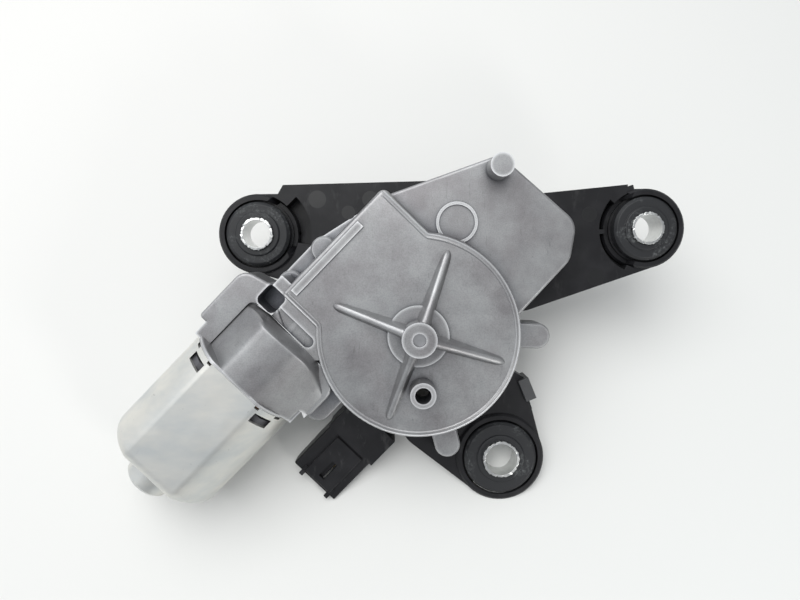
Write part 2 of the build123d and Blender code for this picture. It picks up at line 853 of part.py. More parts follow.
def roof_ribs():
    """Four ribs that fall from the axle boss to the rim of the roof."""
    ribs = Part()
    for angle in rib_angles:
        root = Plane(origin=(wheel_x, wheel_y, roof_top), z_dir=(cos(radians(angle)), sin(radians(angle)), 0))
        root = Plane(origin=root.origin, x_dir=Vector(0, 0, 1).cross(root.z_dir), z_dir=root.z_dir)
        tip = root.offset(rib_reach - rib_tip_width / 2)
        high = Rectangle(rib_root_width, rib_root_height + 2 * rib_sink)
        high = root * Pos(0, rib_root_height / 2 - rib_sink) * high
        low = Rectangle(rib_tip_width, rib_tip_height + rib_sink)
        low = tip * Pos(0, (rib_tip_height - rib_sink) / 2) * low
        rib = loft([high.face(), low.face()])
        upright = rib.edges().sort_by(Axis(tip.origin, tip.z_dir))[-4:].filter_by(Axis.Z)
        ribs += fillet(upright, rib_tip_width / 2 - rib_tip_flat)
    return ribs


def housing_cavity():
    """Space inside the casting for the gears, linkage, worm and brush gear."""
    bowl = disc(*wheel_centre, bowl_radius - casting_wall, housing_bottom, roof_inside)
    linkage = plate(flange_outline(casting_wall), housing_bottom, flange_inside)
    linkage -= disc(stud_x, stud_y, stud_radius, housing_bottom, flange_inside)
    tunnel = along_shaft(worm_room, tunnel_start, front_bush_start)
    slot = Pos(0, -worm_offset / 2) * Rectangle(worm_length, worm_offset + 2 * worm_room)
    slot = plate(in_motor_plan(slot), housing_bottom, motor_z)
    chamber = along_shaft(bell_shoulder_half - casting_wall, bell_start + casting_wall, mouth)
    return bowl + linkage + tunnel + slot + chamber


def gearbox_housing():
    """Die-cast housing: bowl, worm gallery, linkage flange, lugs, boss, ribs and end bell."""
    draft_run = (roof_top - flange_top) * tan(radians(wall_draft))
    upper = plate(roof_outline(draft_run), flange_top, roof_top, taper=wall_draft)
    upper = fillet(upper.edges().group_by(Axis.Z)[-1], edge_round)
    lower = plate(roof_outline(draft_run), housing_bottom, flange_top)
    flange = plate(flange_outline(), housing_bottom, flange_top)
    flange = fillet(flange.edges().group_by(Axis.Z)[-1], edge_round)
    shelf = plate(shelf_outline(), housing_bottom, housing_bottom + shelf_height)
    lobe = plate(lobe_outline(), housing_bottom, lobe_top)
    lobe = fillet(lobe.edges().group_by(Axis.Z)[-1], edge_round)
    lugs = plate(lug_outline(lug_radius), housing_bottom, housing_bottom + lug_height)
    lugs = chamfer(lugs.edges().group_by(Axis.Z)[-1], lug_chamfer)
    housing = upper + lower + flange + shelf + lobe + lugs + end_bell()
    housing += disc(stud_x, stud_y, stud_radius, flange_inside, flange_top + stud_height)
    housing -= housing_cavity()
    housing += roof_details()
    return housing - housing_bores()


def roof_details():
    """Boss, ribs and breather on the roof, and the bearing bosses under it."""
    tube_x = wheel_x + tube_offset[0]
    tube_y = wheel_y + tube_offset[1]
    details = disc(*wheel_centre, boss_radius, wheel_top + layer_gap, boss_top)
    details += disc(*wheel_centre, boss_disc_radius, roof_top - edge_round, roof_top + boss_disc_height)
    details += roof_ribs()
    details += disc(tube_x, tube_y, tube_radius, roof_top - edge_round, roof_top + tube_height)
    details += disc(0, 0, upper_boss_radius, upper_boss_bottom, flange_top - edge_round)
    ring_inner = ring_radius - ring_width
    details += tube(0, 0, ring_radius, ring_inner, flange_top - edge_round, flange_top + ring_height)
    strip = Pos(bar_start + bar_length / 2, bar_offset - worm_offset) * Rectangle(bar_length, bar_width)
    details += plate(in_motor_plan(strip), roof_top - edge_round, roof_top + bar_height)
    return details


def housing_bores():
    """Bores for the axle, bushes and screws, and the breather hole."""
    bores = disc(*wheel_centre, axle_radius, wheel_top, boss_top)
    tube_x = wheel_x + tube_offset[0]
    tube_y = wheel_y + tube_offset[1]
    bores += disc(tube_x, tube_y, tube_bore_radius, roof_inside, roof_top + tube_height)
    bush = journal_radius + running_gap + bush_wall
    bores += disc(0, 0, bush, upper_boss_bottom, upper_bush_top)
    bores += along_shaft(front_bush_radius, front_bush_start, front_bush_start + front_bush_length)
    bores += along_shaft(shaft_passage_radius, front_bush_start, bell_start + casting_wall)
    for centre in screw_places():
        bores += disc(*centre, screw_radius, housing_bottom, cover_bottom + screw_length)
    return bores


# ---- motor ----
def can_section(inset=0.0):
    """Double-D section of the can, flat over and under the magnets."""
    height = 2 * (can_half_thickness - inset)
    section = Circle(can_half_width - inset) & Rectangle(2 * can_half_width, height)
    return fillet(section.vertices(), can_fold_radius - inset)


def motor_can():
    """Drawn steel can with a bearing nose and two windows with bent tabs at the mouth."""
    can = run(can_section(), mouth, can_end)
    can = fillet(last_edges(can), can_corner)
    nose = along_shaft(nose_radius, can_end - can_corner, can_end + nose_length)
    can += chamfer(last_edges(nose), nose_chamfer)
    room = run(can_section(can_wall), mouth, can_end - can_wall)
    can -= fillet(last_edges(room), can_corner - can_wall)
    can -= along_shaft(nose_radius - can_wall, can_end - can_corner, can_end + nose_length - can_wall)
    start = mouth + window_setback
    for side in (-1, 1):
        place = side * window_offset
        can -= shoulder_block(place, window_width, start, start + window_depth)
        for edge in (-1, 1):
            notch = place + edge * (window_width + notch_width) / 2
            can -= shoulder_block(notch, notch_width, mouth, mouth + notch_depth)
    return can


def shoulder_block(place, width, start, end):
    """Block that cuts through one shoulder of the can, at a distance across from the shaft."""
    centre = Pos(place, can_half_thickness)
    return run(centre * Rectangle(width, 2 * window_height), start, end)


def field_magnets():
    """Two curved magnets inside the sides of the can."""
    outer = can_half_width - can_wall
    ring = Circle(outer) - Circle(outer - magnet_thickness)
    pair = ring & Rectangle(2 * outer, 2 * magnet_half_height)
    return run(pair, core_start - magnet_overhang, core_start + core_length + magnet_overhang)


def core_spokes(length, width, centre_radius):
    """Blocks spread round the motor axis, one for each slot of the core."""
    spokes = Sketch()
    for index in range(core_slots):
        spokes += Rot(0, 0, 360 * index / core_slots) * Pos(centre_radius, 0) * Rectangle(length, width)
    return spokes


def armature_core():
    """Laminated core with part-closed slots."""
    section = Circle(core_radius) - Circle(shaft_radius)
    section -= core_spokes(slot_depth, slot_width, core_radius - slot_lip - slot_depth / 2)
    section -= core_spokes(2 * slot_lip, slot_opening, core_radius)
    return run(section, core_start, core_start + core_length)


def armature_windings():
    """Copper windings: bars in the slots and an end turn at each face of the core."""
    bars = core_spokes(slot_depth, slot_width, core_radius - slot_lip - slot_depth / 2)
    end_turn = Circle(core_radius - end_turn_setback) - Circle(end_turn_bore)
    first = run(end_turn, core_start - end_turn_length, core_start)
    last = run(end_turn, core_start + core_length, core_start + core_length + end_turn_length)
    return run(bars, core_start, core_start + core_length) + first + last


def commutator():
    """Copper commutator, slit into one bar for each slot of the core."""
    section = Circle(commutator_radius) - Circle(shaft_radius)
    section -= core_spokes(slit_depth, slit_width, commutator_radius)
    return run(section, commutator_start, commutator_start + commutator_length)


def armature_shaft():
    """Steel shaft from the thrust button to the nose of the can."""
    return along_shaft(shaft_radius, tail_start + end_play, can_end + nose_length - can_wall - axial_gap)


def thrust_button():
    """Hard button that takes the end thrust of the worm."""
    return along_shaft(button_radius, tunnel_start, tail_start)


def tail_bearing():
    """Bush for the tail of the shaft, pressed into the end of the worm gallery."""
    return along_shaft(worm_room, tail_start, tail_start + tail_bush_length, shaft_radius + running_gap)


def front_bearing():
    """Bush between the worm and the brush gear."""
    end = front_bush_start + front_bush_length
    return along_shaft(front_bush_radius, front_bush_start, end, shaft_radius + running_gap)


def rear_bearing():
    """Bush in the nose of the can."""
    start = can_end + rear_bush_setback
    return along_shaft(nose_radius - can_wall, start, start + rear_bush_length, shaft_radius + running_gap)


def brush_plate():
    """Plastic plate with two open boxes that guide the brushes."""
    section = Circle(bell_shoulder_half - casting_wall) - Circle(commutator_radius + air_gap)
    plate_end = brush_plate_start + brush_plate_thickness
    holder = run(section, brush_plate_start, plate_end)
    box = Rectangle(2 * (bell_shoulder_half - casting_wall) - 1.0, brush_width + 2 * brush_box_wall)
    box -= Rectangle(2 * bell_shoulder_half, brush_width)
    box -= Circle(commutator_radius + air_gap)
    return holder + run(box, plate_end, plate_end + brush_length + brush_box_wall)


def brush_section(inner, outer, height):
    """Pair of bars on both sides of the commutator."""
    length = outer - inner
    middle = (outer + inner) / 2
    return Pos(middle, 0) * Rectangle(length, height) + Pos(-middle, 0) * Rectangle(length, height)


def carbon_brushes():
    """Two carbon brushes that bear on the commutator."""
    start = brush_plate_start + brush_plate_thickness
    inner = commutator_radius + brush_gap
    return run(brush_section(inner, inner + brush_reach, brush_width), start, start + brush_length)


def brush_springs():
    """Two springs behind the brushes, as short closed coils."""
    start = brush_plate_start + brush_plate_thickness
    inner = commutator_radius + brush_gap + brush_reach
    outer = bell_shoulder_half - casting_wall - end_play
    middle = (inner + outer) / 2
    springs = Part()
    for side in (-1, 1):
        centre = across(start + brush_length / 2) * Pos(side * middle, 0) * Rot(0, 90, 0)
        coil = Cylinder(brush_width / 2, outer - inner) - Cylinder(brush_width / 3, outer - inner)
        springs += centre * coil
    return springs


# ---- bracket, eyes and cover ----
def eye_places():
    """Each mounting eye: its side, centre, outer radius and sleeve bore radius."""
    left = eye_middle_x - eye_span / 2
    right = eye_middle_x + eye_span / 2
    return (
        ("left", left, eye_y, eye_radius, sleeve_bore_radius),
        ("right", right, eye_y, eye_radius, sleeve_bore_radius),
        ("lower", lower_eye_x, lower_eye_y, lower_eye_radius, lower_sleeve_bore_radius),
    )


def sleeve(x, y, bore):
    """Steel spacer tube with a flange that meets the car body."""
    outer = bore + sleeve_wall
    spacer = tube(x, y, outer, bore, 0, sleeve_length)
    return spacer + tube(x, y, outer + sleeve_flange_width, outer, 0, sleeve_flange_thickness)


def grommet(x, y, radius, bore):
    """Rubber bushing that grips the web of its eye in a groove."""
    outer = radius - eye_wall - grommet_gap
    hole = bore + sleeve_wall
    waist = hole + grommet_waist
    web_bottom, web_top = eye_web_heights()
    upper = disc(x, y, outer, web_top, eye_top + grommet_standout - grommet_step)
    upper = chamfer(upper.edges().sort_by(Axis.Z)[-1], grommet_round)
    lower = disc(x, y, outer, sleeve_flange_thickness, web_bottom)
    collar = disc(x, y, hole + grommet_collar, web_top, eye_top + grommet_standout)
    collar = chamfer(collar.edges().sort_by(Axis.Z)[-1], grommet_step / 2)
    bushing = upper + lower + collar + disc(x, y, waist, web_bottom, web_top)
    return bushing - disc(x, y, hole, 0, sleeve_length)


def eye_web_heights():
    """Lower and upper faces of the web inside an eye."""
    middle = (eye_bottom + eye_top) / 2 - web_drop
    return middle - eye_web / 2, middle + eye_web / 2


def eye_bore(x, y, radius, bore):
    """Space inside an eye: a cup on both sides of the web and the hole for the bushing's waist."""
    web_bottom, web_top = eye_web_heights()
    space = disc(x, y, radius - eye_wall, arm_bottom, web_bottom)
    space += disc(x, y, radius - eye_wall, web_top, eye_top)
    return space + disc(x, y, bore + sleeve_wall + grommet_waist, arm_bottom, eye_top)


def left_arm_outline():
    """Plan of the arm to the left eye."""
    x = eye_middle_x - eye_span / 2
    points = (
        (x, eye_y), (x, eye_y + eye_radius), (x + eye_radius / 2, eye_y + eye_radius),
        (x + arm_shoulder_x, arm_shoulder_y), (0, arm_shoulder_y + arm_rise), (0, 0),
        (wheel_x, wheel_y), (x + eye_radius, eye_y - left_arm_depth), (x, eye_y - eye_radius),
    )
    return rounded(points, (0,) * len(points))


def right_arm_outline():
    """Plan of the arm to the right eye."""
    x = eye_middle_x + eye_span / 2
    foot_x, foot_y = right_arm_foot
    points = (
        (x, eye_y), (x + eye_radius * sin(radians(arm_slope)), eye_y - eye_radius * cos(radians(arm_slope))),
        (foot_x, foot_y), (wheel_x, wheel_y), (0, arm_shoulder_y - arm_rise),
        (right_arm_root_x, right_arm_root_y), (x - eye_end, right_arm_tip_y),
        (x - eye_end, eye_y + eye_radius), (x, eye_y + eye_radius),
    )
    return rounded(points, (0,) * len(points))


def lower_arm_outline():
    """Plan of the lug to the lower eye."""
    x, y, radius = lower_eye_x, lower_eye_y, lower_eye_radius
    right = around(lower_arm_right_angle, radius, (x, y))
    left = around(lower_arm_left_angle, radius, (x, y))
    apex = (wheel_x, wheel_y + lower_arm_overlap)
    points = ((x, y), right, lower_arm_right_root, apex, lower_arm_left_root, left)
    return rounded(points, (0, 0, 0, 0, lower_arm_round, 0))


def arm_ribs(outline, spacing, turn, origin):
    """Diagonal ribs under an arm, trimmed to its outline."""
    ribs = Sketch()
    for step in range(-arm_rib_count, arm_rib_count + 1):
        ribs += Pos(*origin) * Rot(0, 0, turn) * Pos(step * spacing, 0) * Rectangle(arm_rib, eye_span)
    return outline & ribs


def arm(outline, origin):
    """Channel-section arm: a flat web with walls and ribs on the side of the car body."""
    solid = plate(outline, arm_bottom, arm_top)
    hollow = offset(outline, -arm_wall)
    solid -= plate(hollow, arm_bottom, arm_top - arm_web)
    ribs = arm_ribs(outline, arm_rib_spacing, arm_rib_turn, origin)
    ribs += arm_ribs(outline, arm_rib_spacing, -arm_rib_turn, origin)
    return solid + plate(ribs, arm_bottom + arm_rib_setback, arm_top - arm_web)


def eye_pocket(x, y, radius, outer, start, end):
    """Plan of a curved pocket in the arm beside an eye, between two angles."""
    ring = Circle(outer) - Circle(radius)
    reach = 2 * outer
    middle = (start + end) / 2
    wedge = Polygon((0, 0), around(start, reach), around(middle, reach), around(end, reach), align=None)
    return Pos(x, y) * (ring & wedge)


def with_pocket(solid, pocket, outline):
    """The arm with a pocket sunk into it, on walls and a floor of its own."""
    lining = offset(pocket, pocket_wall) & outline
    solid += plate(lining, pocket_floor - pocket_wall, arm_top)
    return solid - plate(pocket, pocket_floor, arm_top)


def tower():
    """Tower round the output shaft: a plain end, and a stepped root with gussets down to the cover."""
    step = tower_root_radius - tower_radius
    root_bottom = cover_bottom - tower_root_length
    root = disc(0, 0, tower_root_radius, root_bottom, cover_bottom)
    body = disc(0, 0, tower_radius, tower_bottom, cover_bottom)
    body += chamfer(root.edges().sort_by(Axis.Z)[0], step)
    foot = tower_root_radius + tower_rib_reach
    profile = Polygon(
        (0, cover_bottom), (foot, cover_bottom), (tower_root_radius, root_bottom + step),
        (0, root_bottom + step), align=None,
    )
    gusset = extrude(Plane.XZ * profile, tower_rib_width / 2, both=True)
    for index in range(tower_ribs):
        body += Rot(0, 0, 360 * (index + 0.5) / tower_ribs) * gusset
    return body


def bracket_cover():
    """Moulded cover with the shaft tower, both arms, the lower lug and the three eyes."""
    cover = plate(casting_outline(), cover_bottom, cover_top)
    left_x = eye_middle_x - eye_span / 2
    right_x = eye_middle_x + eye_span / 2
    left_arm = arm(left_arm_outline(), (left_x, eye_y))
    pocket = eye_pocket(left_x, eye_y, eye_radius, left_pocket_radius, *left_pocket_angles)
    left_arm = with_pocket(left_arm, pocket, left_arm_outline())
    right_arm = arm(right_arm_outline(), (right_x, eye_y))
    for angles in right_pocket_angles:
        pocket = eye_pocket(right_x, eye_y, eye_radius, right_pocket_radius, *angles)
        right_arm = with_pocket(right_arm, pocket, right_arm_outline())
    arms = left_arm + right_arm + arm(lower_arm_outline(), (lower_eye_x, lower_eye_y))
    for name, x, y, radius, bore in eye_places():
        ring = disc(x, y, radius, eye_bottom, eye_top)
        ring = chamfer(ring.edges().sort_by(Axis.Z)[-1], eye_chamfer)
        arms = arms - disc(x, y, radius - eye_wall / 2, arm_bottom, eye_top) + ring
    for side, x, y, radius, bore in eye_places():
        arms -= eye_bore(x, y, radius, bore)
    arms -= plate(casting_outline(arm_clearance), cover_top, arm_top)
    arms -= plate(lug_outline(lug_radius + arm_clearance), cover_top, arm_top)
    arms -= plate(in_motor_plan(bell_shadow()), arm_bottom, arm_top)
    cover += arms + plate(lug_outline(lug_radius), cover_bottom, cover_top) + tower()
    outer = output_radius + running_gap + bush_wall
    cover -= disc(0, 0, outer, tower_bottom + seal_height, cover_top)
    cover -= disc(0, 0, outer + seal_extra, tower_bottom, tower_bottom + seal_height)
    for centre in screw_places():
        cover -= disc(*centre, screw_radius, arm_bottom, cover_top)
        cover -= disc(*centre, screw_head_radius + arm_clearance, arm_bottom, cover_bottom)
    return cover


def bell_shadow():
    """Plan of the end bell and neck, which the cover and arms keep clear of."""
    length = can_end - arm_limit
    middle = (can_end + arm_limit) / 2 - arm_clearance
    width = 2 * (ear_half + arm_clearance)
    return Pos(middle, -worm_offset) * Rectangle(length, width)


def cover_gasket():
    """Flat gasket between the cover and the casting."""
    rim = offset(casting_outline(), -gasket_setback)
    ring = rim - offset(casting_outline(), -gasket_setback - gasket_width)
    gasket = plate(ring, cover_top, housing_bottom)
    for centre in screw_places():
        gasket -= disc(*centre, screw_radius, cover_top, housing_bottom)
    return gasket


def cover_screws():
    """Screws that hold the cover to the casting."""
    screws = Part()
    for x, y in screw_places():
        hexagon = Pos(x, y) * RegularPolygon(screw_head_radius, 6)
        screws += disc(x, y, screw_radius, cover_bottom, cover_bottom + screw_length)
        screws += plate(hexagon, cover_bottom - screw_head_height, cover_bottom)
    return screws


def harness_clip():
    """Small clip pushed on the edge of the lower lug."""
    turn = degrees(atan2(clip_end[1] - clip_start[1], clip_end[0] - clip_start[0]))
    body = bar(clip_start, clip_end, 1.0)
    middle = ((clip_start[0] + clip_end[0]) / 2, (clip_start[1] + clip_end[1]) / 2)
    length = hypot(clip_end[0] - clip_start[0], clip_end[1] - clip_start[1])
    body = Pos(*middle) * Rot(0, 0, turn) * Rectangle(length, clip_body_width)
    clip = plate(body, clip_bottom, clip_top)
    return clip - plate(lower_arm_outline(), arm_bottom, arm_top)


# ---- connector and contacts ----
def connector_housing():
    """Moulded connector shroud with a keyed socket, a latch slot and a neck under the cover."""
    width = connector_outer - connector_inner
    centre = (connector_outer + connector_inner) / 2
    length = connector_end - connector_start
    body = Pos(connector_start + length / 2, centre) * Rectangle(length, width)
    shroud = plate(in_motor_plan(body), connector_bottom, connector_top - panel_height)
    shroud = fillet(shroud.edges().filter_by(Axis(motor_plan.origin, motor_plan.x_dir)), connector_round)
    collar_length = collar_end - connector_start
    collar = Rectangle(collar_length, width + 2 * collar_step)
    collar = Pos(connector_start + collar_length / 2, centre) * collar
    shroud += plate(in_motor_plan(collar), connector_bottom, connector_top + collar_step)
    shroud -= disc(*wheel_centre, bowl_radius + bowl_gap, cover_bottom, connector_top + 2 * collar_step)
    neck = Pos(connector_start - neck_reach / 2, centre) * Rectangle(neck_reach + connector_wall, width)
    shroud += plate(in_motor_plan(neck), connector_bottom, cover_bottom)
    cavity_bottom = connector_bottom + connector_wall
    cavity_top = connector_top - connector_wall
    cavity = Rectangle(socket_depth, width - 2 * connector_wall)
    cavity = Pos(connector_end - socket_depth / 2, centre) * cavity
    shroud -= plate(in_motor_plan(cavity), cavity_bottom, cavity_top)
    slot = Pos(connector_end - latch_setback - latch_length / 2, centre + panel_offset)
    slot *= Rectangle(latch_length, latch_width)
    shroud += raised_panel(centre + panel_offset, cavity_top)
    shroud -= plate(in_motor_plan(slot), cavity_top, connector_top)
    shroud -= plate(offset(lower_arm_outline(), arm_clearance), arm_bottom, arm_top)
    return shroud - connector_terminals()


def raised_panel(middle, cavity_top):
    """Panel on top of the shroud that carries the latch, with a guide peg on each side at the mouth."""
    start = collar_end + panel_gap
    length = connector_end - panel_setback - start
    panel = Pos(start + length / 2, middle) * Rectangle(length, panel_width)
    panel = plate(in_motor_plan(panel), cavity_top, connector_top)
    panel = chamfer(panel.edges().group_by(Axis.Z)[-1], panel_chamfer)
    for side in (-1, 1):
        place = Pos(connector_end - peg_root + (peg_length + peg_root) / 2, middle + side * panel_width / 2)
        peg = place * Rectangle(peg_length + peg_root, peg_width)
        panel += plate(in_motor_plan(peg), cavity_top, connector_top - panel_height / 2)
    return panel


def connector_terminals():
    """Blade terminals through the floor of the socket."""
    centre = (connector_outer + connector_inner) / 2
    floor = connector_end - socket_depth
    middle_z = (connector_bottom + connector_top) / 2
    blades = Part()
    for index in range(terminal_count):
        across_y = centre + (index - (terminal_count - 1) / 2) * terminal_pitch
        length = terminal_length + terminal_root
        blade = Pos(floor - terminal_root + length / 2, across_y) * Rectangle(length, terminal_thickness)
        blades += plate(in_motor_plan(blade), middle_z - terminal_width / 2, middle_z + terminal_width / 2)
    return blades


def contact_fingers():
    """Three spring fingers that rise from the cover to the contact disc."""
    rise = wheel_bottom - disc_thickness - finger_gap - cover_top
    bend = finger_foot + finger_reach
    tip = bend + finger_pad
    profile = Polygon(
        (0, 0), (finger_foot, 0), (bend, rise - finger_thickness), (tip, rise - finger_thickness),
        (tip, rise), (bend - finger_thickness, rise), (finger_foot - finger_thickness, finger_thickness),
        (0, finger_thickness), align=None,
    )
    base = Pos(wheel_x, wheel_y, cover_top) * Rot(0, 0, finger_angle)
    fingers = Part()
    for index in range(finger_count):
        finger = extrude(Plane.XZ * profile, finger_width / 2, both=True)
        shift = finger_start + index * finger_pitch
        fingers += base * Pos(-tip, -shift, 0) * finger
    return fingers


def nodes():
    """Every node's name and the function that makes it."""
    makers = (
        gearbox_housing, motor_can, bracket_cover, connector_housing, connector_terminals, harness_clip,
        cover_gasket, cover_screws, worm_wheel, crank_pin, contact_disc, wheel_axle, axle_clip,
        contact_fingers, worm, armature_shaft, armature_core, armature_windings, commutator,
        field_magnets, brush_plate, carbon_brushes, brush_springs, thrust_button, tail_bearing,
        front_bearing, rear_bearing, sector_rod, rod_bush, lever_lower, lever_upper, lever_pin,
        output_pinion, output_shaft, output_bush, upper_bush, tower_seal, shaft_washer, shaft_circlip,
    )
    named = [(make.__name__, make()) for make in makers]
    for side, x, y, radius, bore in eye_places():
        named.append((f"grommet_{side}", grommet(x, y, radius, bore)))
        named.append((f"sleeve_{side}", sleeve(x, y, bore)))
    return named


def main():
    os.makedirs("parts", exist_ok=True)
    for name, shape in nodes():
        export_step(shape, f"parts/{name}.step")


if __name__ == "__main__":
    main()
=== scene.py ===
import json
import math

import bmesh
import bpy
from mathutils import Matrix, Vector


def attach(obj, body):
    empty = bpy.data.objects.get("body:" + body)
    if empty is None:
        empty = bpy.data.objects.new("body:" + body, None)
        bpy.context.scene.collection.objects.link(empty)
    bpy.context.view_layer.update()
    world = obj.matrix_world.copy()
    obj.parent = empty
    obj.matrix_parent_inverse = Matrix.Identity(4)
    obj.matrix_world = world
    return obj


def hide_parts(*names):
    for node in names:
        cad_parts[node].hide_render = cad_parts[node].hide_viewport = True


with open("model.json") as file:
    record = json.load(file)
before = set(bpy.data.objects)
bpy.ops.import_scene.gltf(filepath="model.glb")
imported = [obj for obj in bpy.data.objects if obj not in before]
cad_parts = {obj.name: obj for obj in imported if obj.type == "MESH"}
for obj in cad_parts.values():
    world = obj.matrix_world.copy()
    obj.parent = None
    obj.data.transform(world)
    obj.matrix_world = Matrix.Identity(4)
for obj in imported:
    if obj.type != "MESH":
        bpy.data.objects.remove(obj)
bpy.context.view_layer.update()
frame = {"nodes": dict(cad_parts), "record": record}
nodes = frame["nodes"]
mm = 0.001
print("frame loaded:", len(nodes), "nodes")


class Shader:
    # one material with its node tree and a few short ways to add nodes
    hollowSamples = 6

    def __init__(self, name, **sockets):
        self.material = bpy.data.materials.new(name)
        self.material.use_nodes = True
        self.tree = self.material.node_tree
        self.surface = self.tree.nodes["Principled BSDF"]
        for socket, value in sockets.items():
            self.surface.inputs[socket.replace("_", " ")].default_value = value
        self.place = self.tree.nodes.new("ShaderNodeTexCoord").outputs["Object"]

    def add(self, kind, **inputs):
        node = self.tree.nodes.new("ShaderNode" + kind)
        for socket, value in inputs.items():
            self.feed(node.inputs[socket.replace("_", " ")], value)
        return node

    def feed(self, socket, value):
        if isinstance(value, bpy.types.NodeSocket):
            self.tree.links.new(value, socket)
        else:
            socket.default_value = value

    def put(self, socket, value):
        self.feed(self.surface.inputs[socket], value)

    def stretched(self, turn, scale):
        # object coordinates turned about Z and stretched
        node = self.add("Mapping", Vector=self.place)
        node.inputs["Rotation"].default_value = (0, 0, turn)
        node.inputs["Scale"].default_value = scale
        return node.outputs["Vector"]

    def noise(self, size, detail=3.0, rough=0.5, place=None, lean=0.0):
        # size is that of one patch, in metres
        node = self.add("TexNoise", Vector=place or self.place, Scale=1 / size, Detail=detail,
                        Roughness=rough, Distortion=lean)
        return node.outputs["Fac"]

    def ramp(self, value, stops):
        # two stops, each a position and a grey or a colour
        node = self.add("ValToRGB", Fac=value)
        for element, (position, colour) in zip(node.color_ramp.elements, stops, strict=True):
            element.position = position
            element.color = colour if isinstance(colour, tuple) else (colour, colour, colour, 1)
        return node.outputs["Color"]

    def mix(self, factor, first, second, blend="MIX"):
        node = self.tree.nodes.new("ShaderNodeMix")
        node.data_type = "RGBA"
        node.blend_type = blend
        self.feed(node.inputs[0], factor)
        self.feed(node.inputs[6], first)
        self.feed(node.inputs[7], second)
        return node.outputs[2]

    def shaded(self, colour, value, stops):
        # colour darkened where the ramp over a value is dark
        return self.mix(1.0, colour, self.ramp(value, stops), "MULTIPLY")

    def product(self, first, second):
        node = self.tree.nodes.new("ShaderNodeMath")
        node.operation = "MULTIPLY"
        self.feed(node.inputs[0], first)
        self.feed(node.inputs[1], second)
        return node.outputs[0]

    def bump(self, height, strength, depth):
        node = self.add("Bump", Height=height, Strength=strength, Distance=depth)
        self.tree.links.new(node.outputs["Normal"], self.surface.inputs["Normal"])

    def hollows(self, reach, inside=False):
        # low in corners or, from inside, on edges, and 1 on open faces
        node = self.tree.nodes.new("ShaderNodeAmbientOcclusion")
        node.samples = self.hollowSamples
        node.inside = inside
        node.only_local = True
        node.inputs["Distance"].default_value = reach
        return node.outputs["AO"]


castLook = {
    "pale": (0.37, 0.375, 0.38, 1),
    "stained": (0.275, 0.268, 0.275, 1),
    "rubbedAndHighlit": (0.8, 0.81, 0.82, 1),
    # sizes in metres
    "patch": 0.02,
    "grain": 0.00045,
    "scuff": 0.0028,
    "polish": 0.006,
    # reach of the painted shade in corners and in deep troughs, then of the lighter edges, partly
    # rubbed wear and partly a painted highlight
    "corner": 0.003,
    "trough": 0.011,
    "wearAndHighlight": 0.0013,
    "pitting": 0.00008,
    # turn and stretch of each set of scuffs
    "scuffs": ((0.5, 0.3), (-0.9, 0.25)),
    # where each pattern starts and ends, and what it gives there
    "patchRamp": ((0.36, 0.0), (0.62, 1.0)),
    "grainRamp": ((0.3, 0.84), (0.62, 1.0)),
    "scuffRamp": ((0.27, 0.74), (0.37, 1.0)),
    "cornerShadeRamp": ((0.3, 0.5), (0.92, 1.0)),
    "troughRamp": ((0.3, (0.5, 0.52, 0.57, 1)), (0.8, 1.0)),
    "wearAndHighlightRamp": ((0.45, 0.9), (0.93, 0.0)),
    "polishRamp": ((0.3, 0.4), (0.7, 0.52)),
}


def castAluminium():
    # blasted casting: soft stains, fine grain, short dark scuffs, painted shade in corners and a bluish
    # painted shade in deep troughs, and edges lighter as rubbed wear and painted highlight
    s = Shader("castAluminium", Metallic=0.85, Roughness=0.45)
    stains = s.ramp(s.noise(castLook["patch"], detail=5, rough=0.6), castLook["patchRamp"])
    colour = s.mix(stains, castLook["stained"], castLook["pale"])
    colour = s.shaded(colour, s.noise(castLook["grain"], detail=2), castLook["grainRamp"])
    for turn, stretch in castLook["scuffs"]:
        drawn = s.stretched(turn, (1, stretch, 1))
        scuff = s.noise(castLook["scuff"], detail=4, rough=0.7, place=drawn, lean=0.6)
        colour = s.shaded(colour, scuff, castLook["scuffRamp"])
    # painted shade: darker where the hollows close in, in corners and, bluish, in deep troughs
    colour = s.shaded(colour, s.hollows(castLook["corner"]), castLook["cornerShadeRamp"])
    colour = s.shaded(colour, s.hollows(castLook["trough"]), castLook["troughRamp"])
    # edges painted lighter: partly rubbed wear, partly a painted highlight
    wearAndHighlight = s.ramp(s.hollows(castLook["wearAndHighlight"], inside=True), castLook["wearAndHighlightRamp"])
    s.put("Base Color", s.mix(wearAndHighlight, colour, castLook["rubbedAndHighlit"]))
    s.put("Roughness", s.ramp(s.noise(castLook["polish"], detail=4), castLook["polishRamp"]))
    s.bump(s.noise(castLook["grain"], detail=3, rough=0.6), 0.3, castLook["pitting"])
    return s.material


canLook = {
    "plating": (0.70, 0.69, 0.645, 1),
    "dull": (0.55, 0.57, 0.565, 1),
    # sizes in metres
    "cloud": 0.012,
    "rub": 0.0022,
    "polish": 0.008,
    "dent": 0.009,
    "dentDepth": 0.0004,
    # the clouds are drawn out along the can
    "turn": -0.785,
    "stretch": (0.4, 1, 1),
    "cloudRamp": ((0.35, 0.0), (0.65, 1.0)),
    "rubRamp": ((0.22, 0.55), (0.3, 1.0)),
    "polishRamp": ((0.3, 0.34), (0.7, 0.46)),
}


def zincCan():
    # drawn and plated steel: soft cloudy streaks, small rubs and dents
    s = Shader("zincCan", Metallic=0.7, Roughness=0.38)
    drawn = s.stretched(canLook["turn"], canLook["stretch"])
    clouds = s.ramp(s.noise(canLook["cloud"], detail=4, rough=0.55, place=drawn), canLook["cloudRamp"])
    colour = s.mix(clouds, canLook["dull"], canLook["plating"])
    s.put("Base Color", s.shaded(colour, s.noise(canLook["rub"], rough=0.6), canLook["rubRamp"]))
    s.put("Roughness", s.ramp(s.noise(canLook["polish"], detail=4), canLook["polishRamp"]))
    s.bump(s.noise(canLook["dent"], detail=2), 0.2, canLook["dentDepth"])
    return s.material


